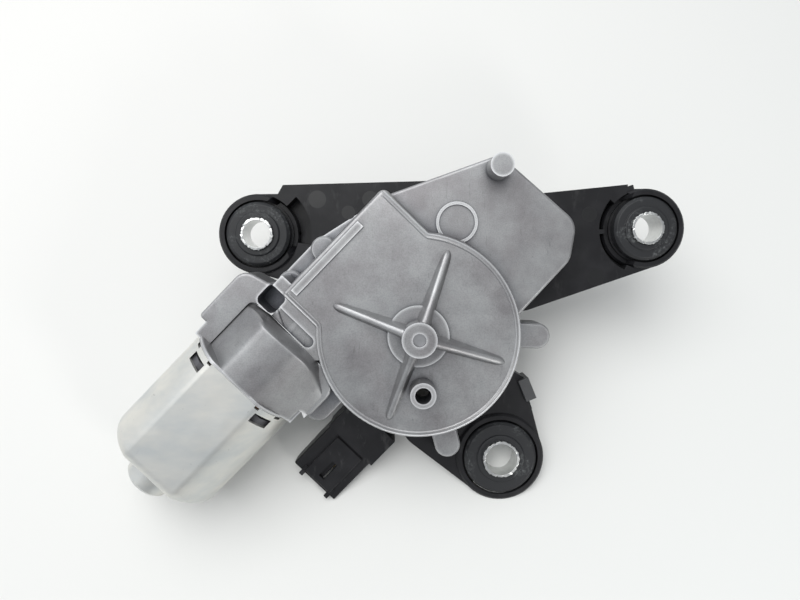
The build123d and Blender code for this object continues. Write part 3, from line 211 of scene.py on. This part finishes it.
plasticLook = {
    "body": (0.008, 0.008, 0.0095, 1),
    "worn": (0.016, 0.016, 0.018, 1),
    "dust": (0.2, 0.2, 0.2, 1),
    "gloss": 0.3,
    # sizes in metres
    "patch": 0.012,
    "smear": 0.005,
    "polish": 0.008,
    "spark": 0.0005,
    "sparkDepth": 0.00004,
    # the smears are drawn out this way
    "turn": 0.6,
    "stretch": (1, 0.35, 1),
    "patchRamp": ((0.45, 0.0), (0.7, 1.0)),
    "smearStart": 0.58,
    "smearEnd": 0.78,
    "polishRamp": ((0.3, 0.36), (0.7, 0.48)),
}


def blackPlastic(name, dust):
    # moulded plastic with fine spark texture and faint dust
    s = Shader(name, Roughness=0.4, Specular_IOR_Level=plasticLook["gloss"])
    worn = s.ramp(s.noise(plasticLook["patch"], detail=5), plasticLook["patchRamp"])
    colour = s.mix(worn, plasticLook["body"], plasticLook["worn"])
    wiped = s.stretched(plasticLook["turn"], plasticLook["stretch"])
    smears = s.ramp(s.noise(plasticLook["smear"], detail=6, rough=0.7, place=wiped),
                    ((plasticLook["smearStart"], 0.0), (plasticLook["smearEnd"], dust)))
    s.put("Base Color", s.mix(smears, colour, plasticLook["dust"]))
    s.put("Roughness", s.ramp(s.noise(plasticLook["polish"]), plasticLook["polishRamp"]))
    s.bump(s.noise(plasticLook["spark"], detail=2), 0.12, plasticLook["sparkDepth"])
    return s.material


rubberLook = {
    "body": (0.02, 0.021, 0.023, 1),
    "dusty": (0.16, 0.17, 0.17, 1),
    # sizes in metres
    "patch": 0.009,
    "speck": 0.0012,
    "patchRamp": ((0.5, 0.0), (0.62, 1.0)),
    "speckRamp": ((0.5, 0.0), (0.66, 0.7)),
    "polishRamp": ((0.0, 0.42), (0.6, 0.75)),
}


def rubber():
    # moulded rubber with specks of dust in patches
    s = Shader("bushingRubber", Roughness=0.5, Specular_IOR_Level=0.35)
    patches = s.ramp(s.noise(rubberLook["patch"], detail=2), rubberLook["patchRamp"])
    specks = s.ramp(s.noise(rubberLook["speck"], detail=5, rough=0.75), rubberLook["speckRamp"])
    dust = s.product(patches, specks)
    s.put("Base Color", s.mix(dust, rubberLook["body"], rubberLook["dusty"]))
    s.put("Roughness", s.ramp(dust, rubberLook["polishRamp"]))
    return s.material


plainLook = {"mottle": 0.002, "darker": 0.75, "grain": 0.0005, "grainDepth": 0.00003}


def plain(name, colour, metallic, roughness):
    # even finish with a faint mottle and a fine grain
    s = Shader(name, Metallic=metallic, Roughness=roughness)
    darker = tuple(plainLook["darker"] * c for c in colour)
    s.put("Base Color", s.mix(s.noise(plainLook["mottle"], detail=4), (*darker, 1), (*colour, 1)))
    s.bump(s.noise(plainLook["grain"]), 0.12, plainLook["grainDepth"])
    return s.material


finishes = {
    "cast_aluminium": castAluminium(),
    "zinc_can": zincCan(),
    "zinc_steel": plain("zincPlate", (0.72, 0.73, 0.72), 1.0, 0.28),
    "steel": plain("machinedSteel", (0.52, 0.52, 0.53), 1.0, 0.3),
    "black_plastic": blackPlastic("blackPlastic", 0.12),
    "connector_plastic": blackPlastic("connectorPlastic", 0.3),
    "black_smooth": plain("smoothPlastic", (0.008, 0.008, 0.009), 0.0, 0.3),
    "grey_plastic": plain("clipPlastic", (0.07, 0.072, 0.075), 0.0, 0.4),
    "white_plastic": plain("gearNylon", (0.8, 0.79, 0.74), 0.0, 0.4),
    "rubber": rubber(),
    "brass": plain("contactBrass", (0.78, 0.6, 0.33), 1.0, 0.3),
    "bronze": plain("sinteredBronze", (0.55, 0.4, 0.24), 0.9, 0.5),
    "copper": plain("enamelledCopper", (0.7, 0.34, 0.17), 0.8, 0.35),
    "carbon": plain("brushCarbon", (0.05, 0.05, 0.05), 0.1, 0.7),
    "ferrite": plain("magnetFerrite", (0.11, 0.11, 0.12), 0.1, 0.55),
}
print("materials made:", len(finishes))

slotOf = {part["node"]: part["material_slot"] for part in frame["record"]["subparts"]}
bodyOf = {}
for body, members in frame["record"]["behaviour"]["bodies"].items():
    for member in members:
        bodyOf[member] = body


def linked(name, form):
    # object at the origin with the mesh of a form, which is freed
    mesh = bpy.data.meshes.new(name)
    form.to_mesh(mesh)
    form.free()
    piece = bpy.data.objects.new(name, mesh)
    bpy.context.collection.objects.link(piece)
    return piece


def rounded(piece, width, plan):
    # bevel in millimetres on the edges that turn more than the plan's angle
    bevel = piece.modifiers.new("edge", "BEVEL")
    bevel.width = width * mm
    bevel.segments = plan["segments"]
    bevel.limit_method = "ANGLE"
    bevel.angle_limit = math.radians(plan["sharp"])
    bevel.harden_normals = True
    return bevel


def joinRows(form, rows, closed=False):
    # faces between neighbouring rows of vertices
    for near, far in zip(rows, rows[1:]):
        for i in range(len(near) if closed else len(near) - 1):
            after = (i + 1) % len(near)
            form.faces.new((near[i], far[i], far[after], near[after]))


# the motor's own directions: along the shaft, and across it towards the connector
motorPlan = {
    "wheel": (-16.4, -44.2),
    "along": (-0.70711, -0.70711),
    "across": (0.70711, -0.70711),
}


def inMotor(along, across, height):
    # point in metres from a place on the motor in millimetres
    x, y = (motorPlan["wheel"][i] + along * motorPlan["along"][i] + across * motorPlan["across"][i]
            for i in range(2))
    return Vector((x, y, height)) * mm


def motorPlace(point):
    # place on the motor in millimetres, from a point in metres
    x, y = point.x / mm - motorPlan["wheel"][0], point.y / mm - motorPlan["wheel"][1]
    along = x * motorPlan["along"][0] + y * motorPlan["along"][1]
    across = x * motorPlan["across"][0] + y * motorPlan["across"][1]
    return along, across, point.z / mm


def between(value, pairs):
    # value read from (position, value) pairs
    for (start, low), (end, high) in zip(pairs, pairs[1:]):
        if value <= end:
            return low + (high - low) * max(0.0, (value - start) / (end - start))
    return pairs[-1][1]


hump = {
    # the plain crown is cut away over this height, between these places along and across the shaft
    "cutHeight": 32.7,
    "cutAlong": (34.4, 60.4),
    "cutAcross": (-57.0, -18.0),
    "cutMargin": 0.01,
    "cutGap": 1e-7,
    "foot": 30.5,
    "footFront": 34.3,
    "footSide": -17.5,
    # places across the shaft
    "columns": (-56.0, -54.8, -53.2, -51.0, -48.6, -46.6, -45.2, -43.8, -41.5, -37.5, -33.5, -30.0,
                -27.0, -24.2, -21.5, -19.0, -16.8, -14.6, -13.2, -13.0, -10.8, -9.4),
    # share of the height and distance behind the front wall; the last row stands at the back
    "rows": ((0.0, 0.0), (0.55, 0.15), (0.88, 0.55), (1.0, 1.6), (1.0, 5.0), (1.0, 12.0), (1.0, None)),
    # across the shaft: height of the skin
    "crown": ((-56.0, 32.0), (-54.8, 33.2), (-51.0, 37.6), (-46.6, 43.4), (-45.2, 44.9), (-43.8, 45.5),
              (-37.5, 45.9), (-30.0, 45.3), (-24.2, 42.6), (-19.0, 38.6), (-14.6, 34.9), (-10.8, 32.7),
              (-9.4, 32.0)),
    # across the shaft: where the front wall and the back stand along it
    "front": ((-56.0, 37.6), (-53.2, 36.4), (-48.6, 35.3), (-37.5, 35.0), (-30.0, 34.7), (-24.2, 34.9),
              (-20.0, 36.6), (-16.8, 38.6), (-14.6, 40.0), (-12.6, 41.2), (-9.4, 43.2)),
    "back": ((-56.0, 59.6), (-13.2, 59.6), (-13.0, 53.4), (-9.4, 53.4)),
    "edge": 0.5,
    "levels": 2,
}


def trimHump(form):
    # the plain crown of the casting is cut away where the smooth one goes
    level = Vector((0, 0, hump["cutHeight"] * mm))
    bmesh.ops.bisect_plane(form, geom=form.verts[:] + form.edges[:] + form.faces[:],
                           dist=hump["cutGap"], plane_co=level, plane_no=(0, 0, 1))
    front, back = hump["cutAlong"]
    far, near = hump["cutAcross"]
    doomed = []
    for face in form.faces:
        along, across, height = motorPlace(face.calc_center_median())
        high = height > hump["cutHeight"] + hump["cutMargin"]
        if high and front < along < back and far < across < near:
            doomed.append(face)
    bmesh.ops.delete(form, geom=doomed, context="FACES")


def humpSkin():
    # smooth crown of the end bell between its two ears, as rows along the shaft joined to each other
    form = bmesh.new()
    rows = []
    for rise, back in hump["rows"]:
        row = []
        for across in hump["columns"]:
            crown = between(across, hump["crown"])
            front = between(across, hump["front"])
            along = between(across, hump["back"]) if back is None else front + back
            if rise == 0.0 and across < hump["footSide"]:
                along = hump["footFront"]
            height = hump["foot"] + (crown - hump["foot"]) * rise
            row.append(form.verts.new(inMotor(along, across, height)))
        rows.append(row)
    rows.append([form.verts.new(inMotor(between(across, hump["back"]), across, hump["foot"]))
                 for across in hump["columns"]])
    joinRows(form, rows)
    for side in (0, -1):
        form.faces.new([row[side] for row in rows])
    form.faces.new(rows[0] + rows[-1][::-1])
    return form


ribs = {
    "centre": (-16.4, -44.2),
    "angles": (70.0, 159.0, 249.5, 342.0),
    "roof": 33.9,
    # reach from the boss, height over the roof, width at the foot
    "spine": ((5.0, 10.6, 6.6), (8.0, 9.6, 5.8), (12.5, 7.9, 5.0), (20.0, 5.4, 4.5), (28.0, 3.2, 4.1),
              (32.0, 2.2, 3.8), (33.6, 1.6, 3.2), (34.7, 0.6, 1.8), (35.2, 0.05, 0.6)),
    # across a rib: share of the half width, share of the height
    "round": ((-1.25, -0.03), (-1.0, 0.06), (-0.78, 0.4), (-0.6, 0.86), (-0.34, 0.99), (0.34, 0.99),
              (0.6, 0.86), (0.78, 0.4), (1.0, 0.06), (1.25, -0.03)),
    "levels": 2,
    # the plain ribs are cut away between these reaches, this far to each side and over these heights
    "cutReach": (6.65, 36.5),
    "cutSide": 3.0,
    "cutOverRoof": 34.05,
    "cutOverDisc": 35.55,
    "disc": 12.1,
}


def roundRib(form, angle):
    # one rib with a rounded back that sinks into the roof at its tip
    out = Vector((math.cos(math.radians(angle)), math.sin(math.radians(angle)), 0))
    beside = Vector((-out.y, out.x, 0))
    middle = Vector((*ribs["centre"], ribs["roof"]))
    rows = []
    for reach, height, width in ribs["spine"]:
        row = []
        for share, rise in ribs["round"]:
            point = middle + out * reach + beside * (share * width / 2)
            point.z += rise * height
            row.append(form.verts.new(point * mm))
        rows.append(row)
    joinRows(form, rows)


def onPlainRib(face):
    centre = face.calc_center_median() / mm
    x, y = centre.x - ribs["centre"][0], centre.y - ribs["centre"][1]
    reach = math.hypot(x, y)
    inner, outer = ribs["cutReach"]
    if centre.z < ribs["cutOverRoof"] or not inner < reach < outer:
        return False
    top = max(v.co.z for v in face.verts) / mm
    if reach <= ribs["disc"] and top <= ribs["cutOverDisc"]:
        return False
    turn = math.degrees(math.atan2(y, x))
    for angle in ribs["angles"]:
        swing = (turn - angle + 180) % 360 - 180
        if abs(math.sin(math.radians(swing))) * reach < ribs["cutSide"] and abs(swing) < 90:
            return True
    return False


def trimRibs(form):
    # the plain ribs are cut away where the rounded ones go
    bmesh.ops.delete(form, geom=[face for face in form.faces if onPlainRib(face)], context="FACES")


bead = {
    "roof": 34.0,
    "roofGap": 0.05,
    # how far the roof and the fillet beside it face upwards
    "flat": 0.995,
    "fillet": (0.05, 0.99),
    # reach from the boss
    "nearest": 30.0,
    # no bead where the wall faces this way
    "bare": (-0.7071, 0.7071, 0.0),
    "bareShare": 0.8,
    # distance outwards from the roof's edge, height over the roof
    "profile": ((-1.35, -0.05), (-1.2, 0.18), (-0.95, 0.36), (-0.6, 0.38), (-0.3, 0.18), (0.0, 0.1),
                (0.3, 0.14), (0.6, 0.3), (0.9, 0.2), (1.1, -0.3), (1.15, -1.3)),
    # in a corner the bead reaches out by up to one over this share
    "corner": 0.5,
    "levels": 1,
}


def roofSteps(form):
    # edges between the flat roof and its fillet, each with the way out
    form.normal_update()
    low, high = bead["fillet"]
    steps = []
    for edge in form.edges:
        if len(edge.link_faces) != 2:
            continue
        top, wall = sorted(edge.link_faces, key=lambda f: -f.normal.z)
        if top.normal.z < bead["flat"] or not low < wall.normal.z < high:
            continue
        if any(abs(v.co.z / mm - bead["roof"]) > bead["roofGap"] for v in edge.verts):
            continue
        away = Vector((wall.normal.x, wall.normal.y, 0)).normalized()
        if away.dot(Vector(bead["bare"])) > bead["bareShare"]:
            continue
        middle = (edge.verts[0].co + edge.verts[1].co) / 2
        outward = middle / mm - Vector((*ribs["centre"], bead["roof"]))
        if outward.xy.length >= bead["nearest"] and outward.dot(away) >= 0:
            steps.append((edge, away))
    return steps


def roofBead(form):
    # rolled edge along the roof of the gearbox
    steps = roofSteps(form)
    walls = {}
    for edge, away in steps:
        for v in edge.verts:
            walls.setdefault(v, []).append(away)
    strip = bmesh.new()
    rows = {}
    for v, normals in walls.items():
        out = sum(normals, Vector()).normalized()
        out /= max(bead["corner"], out.dot(normals[0]))
        rows[v] = [strip.verts.new(v.co + (out * reach + Vector((0, 0, rise))) * mm)
                   for reach, rise in bead["profile"]]
    for edge, away in steps:
        joinRows(strip, [rows[v] for v in edge.verts])
    print("roof edge:", len(steps), "steps")
    return strip


openRim = {
    # centre of each upper eye and the angles between which its rim is low
    "eyes": (((-82.6, -3.0), -26.0, 66.0), ((80.6, -3.0), 116.0, 251.0)),
    "reach": 17.1,
    "above": 9.3,
    "drop": 5.2,
}


def openRims(form):
    # the rim of an eye stays low beside the pocket
    for v in form.verts:
        x, y, z = v.co / mm
        if z < openRim["above"]:
            continue
        for centre, start, end in openRim["eyes"]:
            turn = math.degrees(math.atan2(y - centre[1], x - centre[0])) % 360
            inside = start < turn < end or start < turn - 360 < end
            if inside and math.hypot(x - centre[0], y - centre[1]) < openRim["reach"]:
                v.co.z -= openRim["drop"] * mm


sleeveRim = {
    "height": 14.0,
    "heightGap": 0.05,
    # only what lies this far outside the bore is folded, by this share of the tear
    "lip": 0.4,
    "fold": 0.25,
    "tear": 0.5,
    "drop": 0.35,
    # waves round the rim; the first starts elsewhere on each sleeve, the others at these turns
    "firstWave": 7,
    "spread": 90,
    "otherWaves": ((17, 1.3), (29, 0.4)),
}


def tearRim(form):
    # pressed rim of a sleeve, folded outwards and slightly torn
    level = (sleeveRim["height"] - sleeveRim["heightGap"]) * mm
    rim = [v for v in form.verts if v.co.z > level]
    middle = sum((v.co for v in rim), Vector()) / len(rim)
    bore = min((v.co - middle).xy.length for v in rim)
    for v in rim:
        arm = Vector((v.co.x - middle.x, v.co.y - middle.y, 0))
        turn = math.atan2(arm.y, arm.x)
        tear = math.sin(turn * sleeveRim["firstWave"] + middle.x * sleeveRim["spread"])
        for waves, start in sleeveRim["otherWaves"]:
            tear *= math.sin(turn * waves + start)
        if arm.length > bore + sleeveRim["lip"] * mm:
            v.co += arm.normalized() * (sleeveRim["fold"] + tear) * sleeveRim["tear"] * mm
            v.co.z -= abs(tear) * sleeveRim["drop"] * mm


finishing = {
    # vertices nearer than this are merged, in metres, and faces flatter than this joined, in degrees
    "merge": 2e-6,
    "flat": 0.4,
    # degrees over which an edge is rounded
    "sharp": 32.0,
    "segments": 2,
    # bevel in millimetres for a node or a family of nodes; the others keep their plain mesh
    "edges": {
        "gearbox_housing": 0.35,
        "motor_can": 0.25,
        "bracket_cover": 0.25,
        "connector_housing": 0.25,
        "harness_clip": 0.2,
        "grommet": 0.3,
        "sleeve": 0.15,
    },
}


def edgeOf(name):
    for start, width in finishing["edges"].items():
        if name.startswith(start):
            return width
    return None


def finished(name, form):
    # copy of a node with its flat faces joined and its edges rounded
    bmesh.ops.dissolve_limit(form, angle_limit=math.radians(finishing["flat"]), verts=form.verts,
                             edges=form.edges)
    for face in form.faces:
        face.smooth = True
    for edge in form.edges:
        edge.smooth = edge.calc_face_angle(0.0) < math.radians(finishing["sharp"])
    piece = linked(name + "_finished", form)
    rounded(piece, edgeOf(name), finishing)
    return piece


for name, node in nodes.items():
    finish = finishes["zinc_can" if name == "motor_can" else slotOf[name]]
    if not edgeOf(name):
        node.data.materials.clear()
        node.data.materials.append(finish)
        continue
    form = bmesh.new()
    form.from_mesh(node.data)
    bmesh.ops.remove_doubles(form, verts=form.verts, dist=finishing["merge"])
    if name == "gearbox_housing":
        trimHump(form)
        trimRibs(form)
        beadForm = roofBead(form)
    if name == "bracket_cover":
        openRims(form)
    if name.startswith("sleeve"):
        tearRim(form)
    piece = finished(name, form)
    piece.data.materials.append(finish)
    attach(piece, bodyOf[name])
    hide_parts(name)
print("nodes finished")

newEdge = {"segments": 3, "sharp": 40.0}


def newPiece(name, form, carrier, finish, edge=0.0, levels=0):
    # piece from a form, on the body of the node that carries it, with the given finish
    bmesh.ops.recalc_face_normals(form, faces=form.faces)
    for face in form.faces:
        face.smooth = True
    piece = linked(name, form)
    if edge:
        bevel = rounded(piece, edge, newEdge)
        bevel.harden_normals = levels == 0
    if levels:
        smooth = piece.modifiers.new("smooth", "SUBSURF")
        smooth.levels = smooth.render_levels = levels
    piece.data.materials.append(finishes[finish])
    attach(piece, bodyOf[carrier])


newPiece("roof_bead", beadForm, "gearbox_housing", "cast_aluminium", levels=bead["levels"])
newPiece("bell_crown", humpSkin(), "gearbox_housing", "cast_aluminium", hump["edge"], hump["levels"])
ribForm = bmesh.new()
for angle in ribs["angles"]:
    roundRib(ribForm, angle)
newPiece("roof_ribs", ribForm, "gearbox_housing", "cast_aluminium", levels=ribs["levels"])

spigot = {
    # place of its axis across the shaft, and height
    "axis": (-37.6, 24.0),
    "radius": 24.3,
    "flat": 21.2,
    "start": 58.8,
    "end": 60.3,
    "steps": 72,
    "edge": 0.3,
}


def addSpigot():
    # end of the casting inside the mouth of the can
    form = bmesh.new()
    across, height = spigot["axis"]
    rim = []
    for step in range(spigot["steps"]):
        turn = 2 * math.pi * step / spigot["steps"]
        side = spigot["radius"] * math.cos(turn)
        rise = max(-spigot["flat"], min(spigot["flat"], spigot["radius"] * math.sin(turn)))
        rim.append(form.verts.new(inMotor(spigot["start"], across + side, height + rise)))
    grown = bmesh.ops.extrude_face_region(form, geom=[form.faces.new(rim)])
    far = [v for v in grown["geom"] if isinstance(v, bmesh.types.BMVert)]
    shift = (inMotor(1, 0, 0) - inMotor(0, 0, 0)) * (spigot["end"] - spigot["start"])
    bmesh.ops.translate(form, vec=shift, verts=far)
    newPiece("bell_spigot", form, "gearbox_housing", "cast_aluminium", spigot["edge"])


addSpigot()

armCorner = {
    "eye": (80.6, -3.0),
    # inner and outer radius, first and last angle, bottom and top
    "radii": (16.5, 19.2),
    "angles": (104.0, 139.0),
    "heights": (3.0, 8.95),
    "steps": 14,
    "edge": 0.2,
}


def addArmCorner():
    # corner of the right arm, bent round the eye
    form = bmesh.new()
    inner, outer = armCorner["radii"]
    first, last = armCorner["angles"]
    low, high = armCorner["heights"]
    rows = []
    for step in range(armCorner["steps"] + 1):
        turn = math.radians(first + (last - first) * step / armCorner["steps"])
        row = []
        for radius, height in ((inner, low), (inner, high), (outer, high), (outer, low)):
            x = armCorner["eye"][0] + radius * math.cos(turn)
            y = armCorner["eye"][1] + radius * math.sin(turn)
            row.append(form.verts.new(Vector((x, y, height)) * mm))
        rows.append(row)
    joinRows(form, rows, closed=True)
    form.faces.new(rows[0])
    form.faces.new(rows[-1][::-1])
    newPiece("right_arm_corner", form, "bracket_cover", "black_plastic", armCorner["edge"])


addArmCorner()

latchBacking = {"middle": (-57.45, -104.9, 9.6), "size": (12.0, 4.2, 1.9), "turn": 225.0, "edge": 0.25}
clipFoot = {"middle": (31.6, -78.3, 5.4), "size": (4.2, 2.2, 6.4), "turn": -69.0, "edge": 0.25}


def addBlock(name, plan, carrier, finish):
    # plain block, turned about Z
    form = bmesh.new()
    place = Matrix.Translation(Vector(plan["middle"]) * mm)
    turn = Matrix.Rotation(math.radians(plan["turn"]), 4, "Z")
    scale = Matrix.Diagonal((*(Vector(plan["size"]) * mm), 1))
    bmesh.ops.create_cube(form, size=1.0, matrix=place @ turn @ scale)
    newPiece(name, form, carrier, finish, plan["edge"])


addBlock("latch_backing", latchBacking, "connector_housing", "connector_plastic")
addBlock("clip_foot", clipFoot, "bracket_cover", "black_plastic")

ejectorMarks = {
    "height": 9.02,
    "steps": 40,
    # x, y and radius of each: three on the left arm, two on the right
    "discs": ((-57.6, 11.3, 3.7), (-35.2, 11.0, 3.5), (-44.6, 5.6, 2.9),
              (57.4, 3.4, 3.3), (60.3, -23.2, 3.7)),
}


def addMarks():
    # thin discs where the ejector pins have left the moulding smooth
    form = bmesh.new()
    for x, y, radius in ejectorMarks["discs"]:
        place = Matrix.Translation(Vector((x, y, ejectorMarks["height"])) * mm)
        bmesh.ops.create_circle(form, cap_ends=True, segments=ejectorMarks["steps"], radius=radius * mm,
                                matrix=place)
    newPiece("ejector_marks", form, "bracket_cover", "black_smooth")


addMarks()
print("pieces finished")

table = {
    # the tip of the shaft rests on the table, which is tilted under the part
    "shaftTip": (0.0, 0.0, -45.2 * mm),
    "normal": (0.011, 0.419, 0.908),
    "size": 14.0,
    "colour": (0.77, 0.765, 0.745, 1),
    "dim": (0.7, 0.71, 0.695, 1),
    # painted light: the colour rises along this direction and is halfway at the shaft's tip
    "fade": (-1.6, 1.5, 0.0),
    "halfway": 0.5,
}


def tablePaper():
    # pale paper that is clear from below, with painted light: lighter along one direction and dimmer
    # against it
    s = Shader("tablePaper", Roughness=0.9)
    fade = s.tree.nodes.new("ShaderNodeVectorMath")
    fade.operation = "DOT_PRODUCT"
    fade.inputs[1].default_value = table["fade"]
    s.feed(fade.inputs[0], s.place)
    level = s.tree.nodes.new("ShaderNodeMath")
    level.inputs[1].default_value = table["halfway"]
    s.feed(level.inputs[0], fade.outputs["Value"])
    # painted light: the table dims on one side and lightens on the other
    s.put("Base Color", s.ramp(level.outputs[0], ((0.0, table["dim"]), (1.0, table["colour"]))))
    clear = s.add("BsdfTransparent")
    below = s.tree.nodes.new("ShaderNodeNewGeometry").outputs["Backfacing"]
    choose = s.tree.nodes.new("ShaderNodeMixShader")
    s.feed(choose.inputs[0], below)
    s.feed(choose.inputs[1], s.surface.outputs[0])
    s.feed(choose.inputs[2], clear.outputs[0])
    s.feed(s.tree.nodes["Material Output"].inputs["Surface"], choose.outputs[0])
    return s.material


def addTable():
    form = bmesh.new()
    tilt = Vector((0, 0, 1)).rotation_difference(Vector(table["normal"])).to_matrix().to_4x4()
    bmesh.ops.create_grid(form, x_segments=1, y_segments=1, size=table["size"] / 2,
                          matrix=Matrix.Translation(table["shaftTip"]) @ tilt)
    piece = linked("table", form)
    piece.data.materials.append(tablePaper())


addTable()

tableCamera = {
    "eye": (-23.9 * mm, -13.9 * mm, 269.0 * mm),
    "right": (0.9999, -0.0141, 0.0033),
    "up": (0.0143, 0.9975, -0.0687),
    "lens": 27.45,
    "sensor": 36,
    "clipStart": 0.01,
}


def addCamera():
    back = Vector(tableCamera["right"]).cross(Vector(tableCamera["up"])).normalized()
    up = Vector(tableCamera["up"]).normalized()
    right = up.cross(back).normalized()
    lens = bpy.data.cameras.new("tableCamera")
    lens.lens = tableCamera["lens"]
    lens.sensor_width = tableCamera["sensor"]
    lens.clip_start = tableCamera["clipStart"]
    camera = bpy.data.objects.new("tableCamera", lens)
    turn = Matrix((right, up, back)).transposed().to_4x4()
    camera.matrix_world = Matrix.Translation(tableCamera["eye"]) @ turn
    bpy.context.collection.objects.link(camera)
    bpy.context.scene.camera = camera


addCamera()

# place and size in metres, power in watts
windowLamp = {"place": (-0.3, 0.62, 0.86), "size": 1.15, "power": 11.0, "colour": (1.0, 0.995, 0.98)}
creaseLamp = {"place": (0.36, -0.4, 0.46), "size": 0.12, "power": 1.1, "colour": (1.0, 0.99, 0.97)}


def addLamp(name, plan):
    # square lamp that faces the origin
    lamp = bpy.data.lights.new(name, "AREA")
    lamp.size = plan["size"]
    lamp.energy = plan["power"]
    lamp.color = plan["colour"]
    holder = bpy.data.objects.new(name, lamp)
    holder.location = plan["place"]
    holder.rotation_euler = (Vector(plan["place"]) * -1).to_track_quat("-Z", "Y").to_euler()
    bpy.context.collection.objects.link(holder)


addLamp("windowLamp", windowLamp)
addLamp("creaseLamp", creaseLamp)

paleRoom = {
    "colour": (0.93, 0.96, 1.0, 1),
    "window": (-0.72, 0.62, 0.3),
    # strength away from the window and towards it
    "strength": (0.05, 0.88),
}


def addRoom():
    # one pale colour that is brighter towards the window
    world = bpy.data.worlds.new("paleRoom")
    bpy.context.scene.world = world
    world.use_nodes = True
    tree = world.node_tree
    room = tree.nodes["Background"]
    ray = tree.nodes.new("ShaderNodeTexCoord").outputs["Generated"]
    side = tree.nodes.new("ShaderNodeVectorMath")
    side.operation = "DOT_PRODUCT"
    side.inputs[1].default_value = paleRoom["window"]
    level = tree.nodes.new("ShaderNodeMapRange")
    level.inputs["From Min"].default_value = -1.0
    level.inputs["To Min"].default_value, level.inputs["To Max"].default_value = paleRoom["strength"]
    tree.links.new(ray, side.inputs[0])
    tree.links.new(side.outputs["Value"], level.inputs["Value"])
    tree.links.new(level.outputs["Result"], room.inputs["Strength"])
    room.inputs["Color"].default_value = paleRoom["colour"]


addRoom()
bpy.context.scene.view_settings.view_transform = "Standard"
print("studio set")
